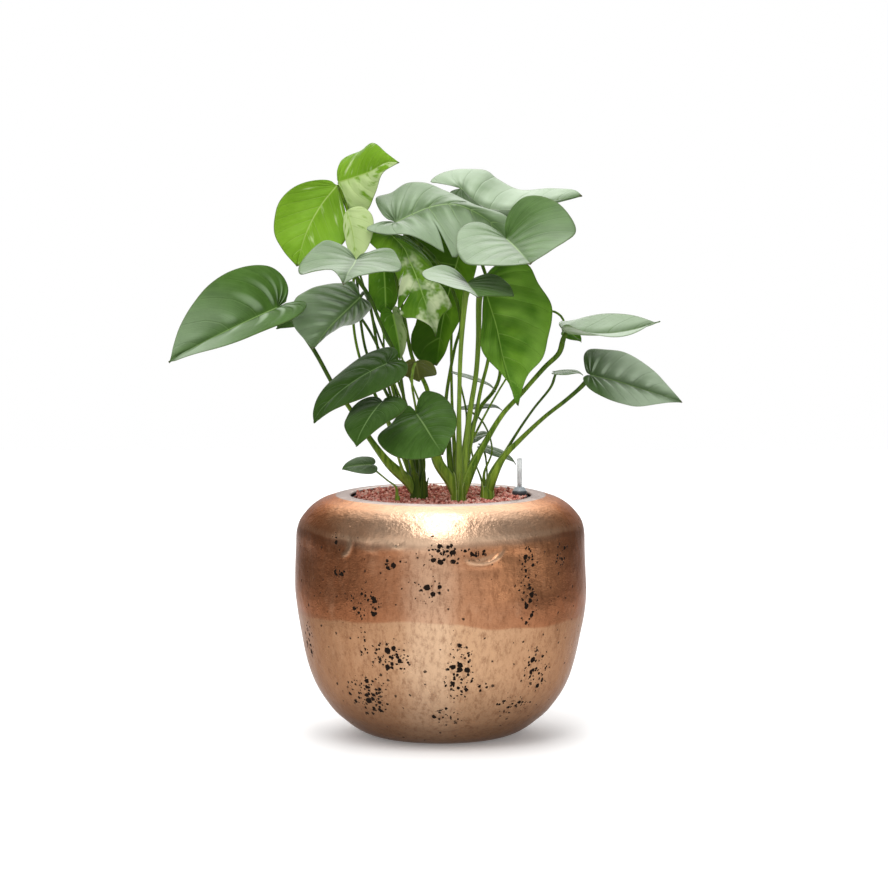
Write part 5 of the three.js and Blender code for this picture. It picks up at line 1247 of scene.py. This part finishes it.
def clay():
    look = Look("clay_grains")
    grain = look.add("Attribute", attribute_name="grain").outputs["Fac"]
    ramp = look.add("ValToRGB", {0: grain})
    stops = [(0.0, (0.26, 0.06, 0.04)), (0.3, (0.72, 0.23, 0.18)), (0.7, (0.98, 0.46, 0.38)),
             (1.0, (1.0, 0.7, 0.6))]
    elements = ramp.color_ramp.elements
    while len(elements) < len(stops):
        elements.new(0.5)
    for element, (at, colour) in zip(elements, stops):
        element.position = at
        element.color = (*colour, 1)
    rough = look.noise(900, 4, 0.7)
    colour = look.mix(look.times(rough, 0.22), ramp.outputs[0], (0.13, 0.05, 0.035))
    normal = look.bump(rough, 0.0006, 0.9)
    return look.done(look.principled(Base_Color=colour, Roughness=0.95, Specular_IOR_Level=0.1,
                                     Normal=normal))


def grain_shape():
    """A small lump, as unit points and faces."""
    golden = math.pi * (3 - math.sqrt(5))
    fifths = np.arange(5) * 2 * np.pi / 5
    rows = [(0, 0, 1.0), *[(math.cos(a) * 0.75, math.sin(a) * 0.75, 0.62) for a in fifths],
            *[(math.cos(a), math.sin(a), -0.1) for a in (np.arange(5) + 0.5) * 2 * np.pi / 5],
            *[(math.cos(a) * 0.6, math.sin(a) * 0.6, -0.75) for a in fifths]]
    faces = []
    for k in range(5):
        n = (k + 1) % 5
        faces += [[0, 1 + k, 1 + n], [1 + k, 6 + k, 1 + n], [1 + n, 6 + k, 6 + n],
                  [6 + k, 11 + n, 6 + n], [6 + k, 11 + k, 11 + n]]
    faces.append([15, 14, 13, 12, 11])
    return np.array(rows, float), faces


def bank(x, y):
    """How far the bed rises toward the pot's wall, except at the front, in mm."""
    share = np.clip((np.hypot(x, y) - 62) / 38, 0, 1)
    return BANK_HEIGHT * share * share * (3 - 2 * share) * np.clip((y + 75) / 60, 0, 1)


def granules_piece():
    bundle = Bundle()
    # The bed itself, a little below the grains, dark as painted shade in the gaps between them
    sides = 72
    x, y, z = lathe_points(BED_PROFILE, turns(sides))
    points = np.stack([x, y, z + bank(x, y) * (z > 290)], -1).reshape(-1, 3)
    bundle.add(points, ring_faces(len(BED_PROFILE), sides), 0.02)
    lump, lump_faces = grain_shape()
    keep_out = [(p["post"][0], p["post"][1], p["post"][2] + 1.2) for p in PLANTLETS.values()]
    keep_out.append((*GAUGE_AT, 8.5))
    placed = 0
    while placed < GRAIN_COUNT:
        radius = BED_RADIUS * math.sqrt(RNG.random())
        angle = RNG.random() * 2 * math.pi
        px, py = radius * math.cos(angle), radius * math.sin(angle)
        size = RNG.uniform(*GRAIN_SIZES)
        if any(math.hypot(px - kx, py - ky) < kr + size * 0.6 for kx, ky, kr in keep_out):
            continue
        if radius > FLAT_RADIUS and bank(px, py) < BANK_HEIGHT - 0.1:
            continue
        ripple = 0.9 * (math.sin(px * 0.31 + py * 0.11) + math.sin(py * 0.37 - px * 0.17))
        top = BED_HEIGHT + bank(px, py) + ripple
        turn = RNG.normal(size=(3, 3))
        turn, _ = np.linalg.qr(turn)
        grain = (lump * RNG.uniform(0.8, 1.2, 3) * size) @ turn.T
        grain = grain * RNG.uniform(0.86, 1.12, (len(grain), 1))
        bundle.add(grain + (px, py, top + RNG.uniform(-1.3, 0.7)), lump_faces, RNG.random())
        placed += 1
    obj = bundle.piece("clay_granulate", clay(), "grain")
    obj.data.polygons.foreach_set("use_smooth", [False] * len(obj.data.polygons))
    dress(obj, "granules")


# Water gauge
def clear_plastic():
    look = Look("gauge_clear_plastic")
    haze_and_sheen = look.step(look.noise(60, 2), 0.3, 0.9)
    colour = look.mix(haze_and_sheen, (0.88, 0.9, 0.9), (0.8, 0.83, 0.83))
    return look.done(look.principled(Base_Color=colour, Roughness=0.12, Transmission_Weight=0.45,
                                     IOR=1.2))


# The gauge's head above its seat, as radius and height
GAUGE_HEAD = [
    (3.6, -0.2), (9.4, 0), (9.6, 0.5), (9.55, 2.2), (9.1, 2.5), (9.1, 3.0), (9.5, 3.3), (9.4, 6.4),
    (9.0, 7.6), (8.2, 8.5), (7.4, 9.6), (6.4, 11.2), (5.4, 12.5), (4.4, 12.9), (3.4, 12.8), (3.4, 3),
]


def gauge_pieces():
    base = CULTURE_TOP + 0.6
    head = [(3.6, 262), *[(radius, base + up) for radius, up in GAUGE_HEAD]]
    look = Look("gauge_head_plastic")
    at = look.axes()[2]
    dome = look.step(at, (base + 7.2) * MM, (base + 9.0) * MM)
    shade = look.mix(look.noise(200, 3), (0.03, 0.035, 0.04), (0.07, 0.075, 0.085))
    shade = look.mix(dome, shade, (0.42, 0.46, 0.5))
    normal = look.bump(look.noise(800, 2), 0.0002, 0.4)
    grey = look.done(look.principled(Base_Color=shade, Roughness=0.3, Normal=normal))
    dress(lathe_piece("gauge_cap", head, grey, centre=GAUGE_AT), "gauge_head")
    tube_profile = [
        (3.0, CULTURE_TOP + 2.6), (3.0, GAUGE_TOP - 0.5), (2.7, GAUGE_TOP), (0.4, GAUGE_TOP),
        (0.4, GAUGE_TOP - 1), (2.2, GAUGE_TOP - 1.2),
    ]
    dress(lathe_piece("gauge_sight_tube", tube_profile, clear_plastic(), 48, GAUGE_AT),
          "gauge_tube")
    float_profile = [
        (0.7, CULTURE_TOP + 3.2), (1.2, CULTURE_TOP + 3.6), (1.3, CULTURE_TOP + 16.6),
        (1.0, CULTURE_TOP + 17.6), (0.4, CULTURE_TOP + 18),
    ]
    red = plastic("float_plastic", (0.09, 0.02, 0.015), 0.35)
    dress(lathe_piece("gauge_float_rod", float_profile, red, 32, GAUGE_AT),
          "gauge_needle")


pot_piece()
culture_piece()
granules_piece()
gauge_pieces()
riser = next(o for o in bpy.data.objects if o.type == "MESH" and o.name == "riser")
riser_look = plastic("riser_stand_plastic", (0.03, 0.03, 0.033), 0.6)
for material_slot in riser.material_slots:
    material_slot.material = riser_look
if not riser.material_slots:
    riser.data.materials.append(riser_look)


# Floor, light and camera
FLOOR_CORNER = (1050, 3600, -0.5)
PHOTO_LENS = 162.94


def floor():
    look = Look("floor_paper")
    tone = look.mix(look.noise(2, 2), (0.93, 0.93, 0.93), (0.96, 0.96, 0.96))
    material = look.done(look.principled(Base_Color=tone, Roughness=0.95, Specular_IOR_Level=0.1,
                                         Emission_Color=(1.0, 1.0, 1.0), Emission_Strength=0.16))
    x, y, z = FLOOR_CORNER
    obj = new_mesh("studio_floor", [(-x, -y, z), (x, -y, z), (x, y, z), (-x, y, z)],
                   [[0, 1, 2, 3]], material=material, smooth=False)


def area_light(name, place, target, size, power, tall=None):
    data = bpy.data.lights.new(name, "AREA")
    data.shape = "RECTANGLE"
    data.size, data.size_y, data.energy = size, tall or size, power
    lamp = link(name, data)
    lamp.location = place
    lamp.rotation_euler = (Vector(target) - Vector(place)).to_track_quat("-Z", "Y").to_euler()


def studio_world():
    """A white backdrop; what the pot reflects is darker to both sides, as in a studio."""
    look = Look("studio", "worlds")
    way = look.add("TexCoord").outputs["Generated"]
    x, y, z = look.add("SeparateXYZ", {0: way}).outputs[:3]
    ahead = look.step(y, -0.15, -0.9, 0.3, 0.95)
    behind = look.times(look.step(y, 0.0, 0.5, 0.0, 1.1), look.step(look.size(x), 0.6, 0.3))
    behind = look.times(behind, look.step(z, -0.05, 0.2, 0.15, 1.0))
    soft, plain = (look.add("Background", {"Color": (1, 1, 1), "Strength": strength}).outputs[0]
                   for strength in (look.plus(ahead, behind), 1.0))
    seen = look.add("LightPath").outputs["Is Camera Ray"]
    both = look.add("MixShader", {0: seen, 1: soft, 2: plain}).outputs[0]
    bpy.context.scene.world = look.done(both, "OutputWorld")


floor()
studio_world()
sun_data = bpy.data.lights.new("sky", "SUN")
sun_data.energy, sun_data.angle = 1.0, 1.2
sun = link("sky", sun_data)
sun.rotation_euler = (math.radians(24), math.radians(-22), 0)
sun.visible_glossy = False
area_light("strip", (0.0, -0.5, 2.4), (0, -0.2, 0.25), 0.4, 14, 3.4)
area_light("overhead", (0.0, -0.4, 2.6), (0, -0.2, 0.25), 1.1, 22, 3.2)
area_light("back", (0.0, 2.7, 2.3), (0, 0, 0.5), 2.6, 20, 1.6)
bpy.context.scene.view_settings.view_transform = "Standard"

camera_data = bpy.data.cameras.new("photo_camera")
camera_data.sensor_width = 36
camera_data.lens = PHOTO_LENS
camera = link("photo_camera", camera_data)
camera.location = [c * MM for c in EYE]
camera.rotation_euler = (math.pi / 2 - TILT, 0, 0)
bpy.context.scene.camera = camera
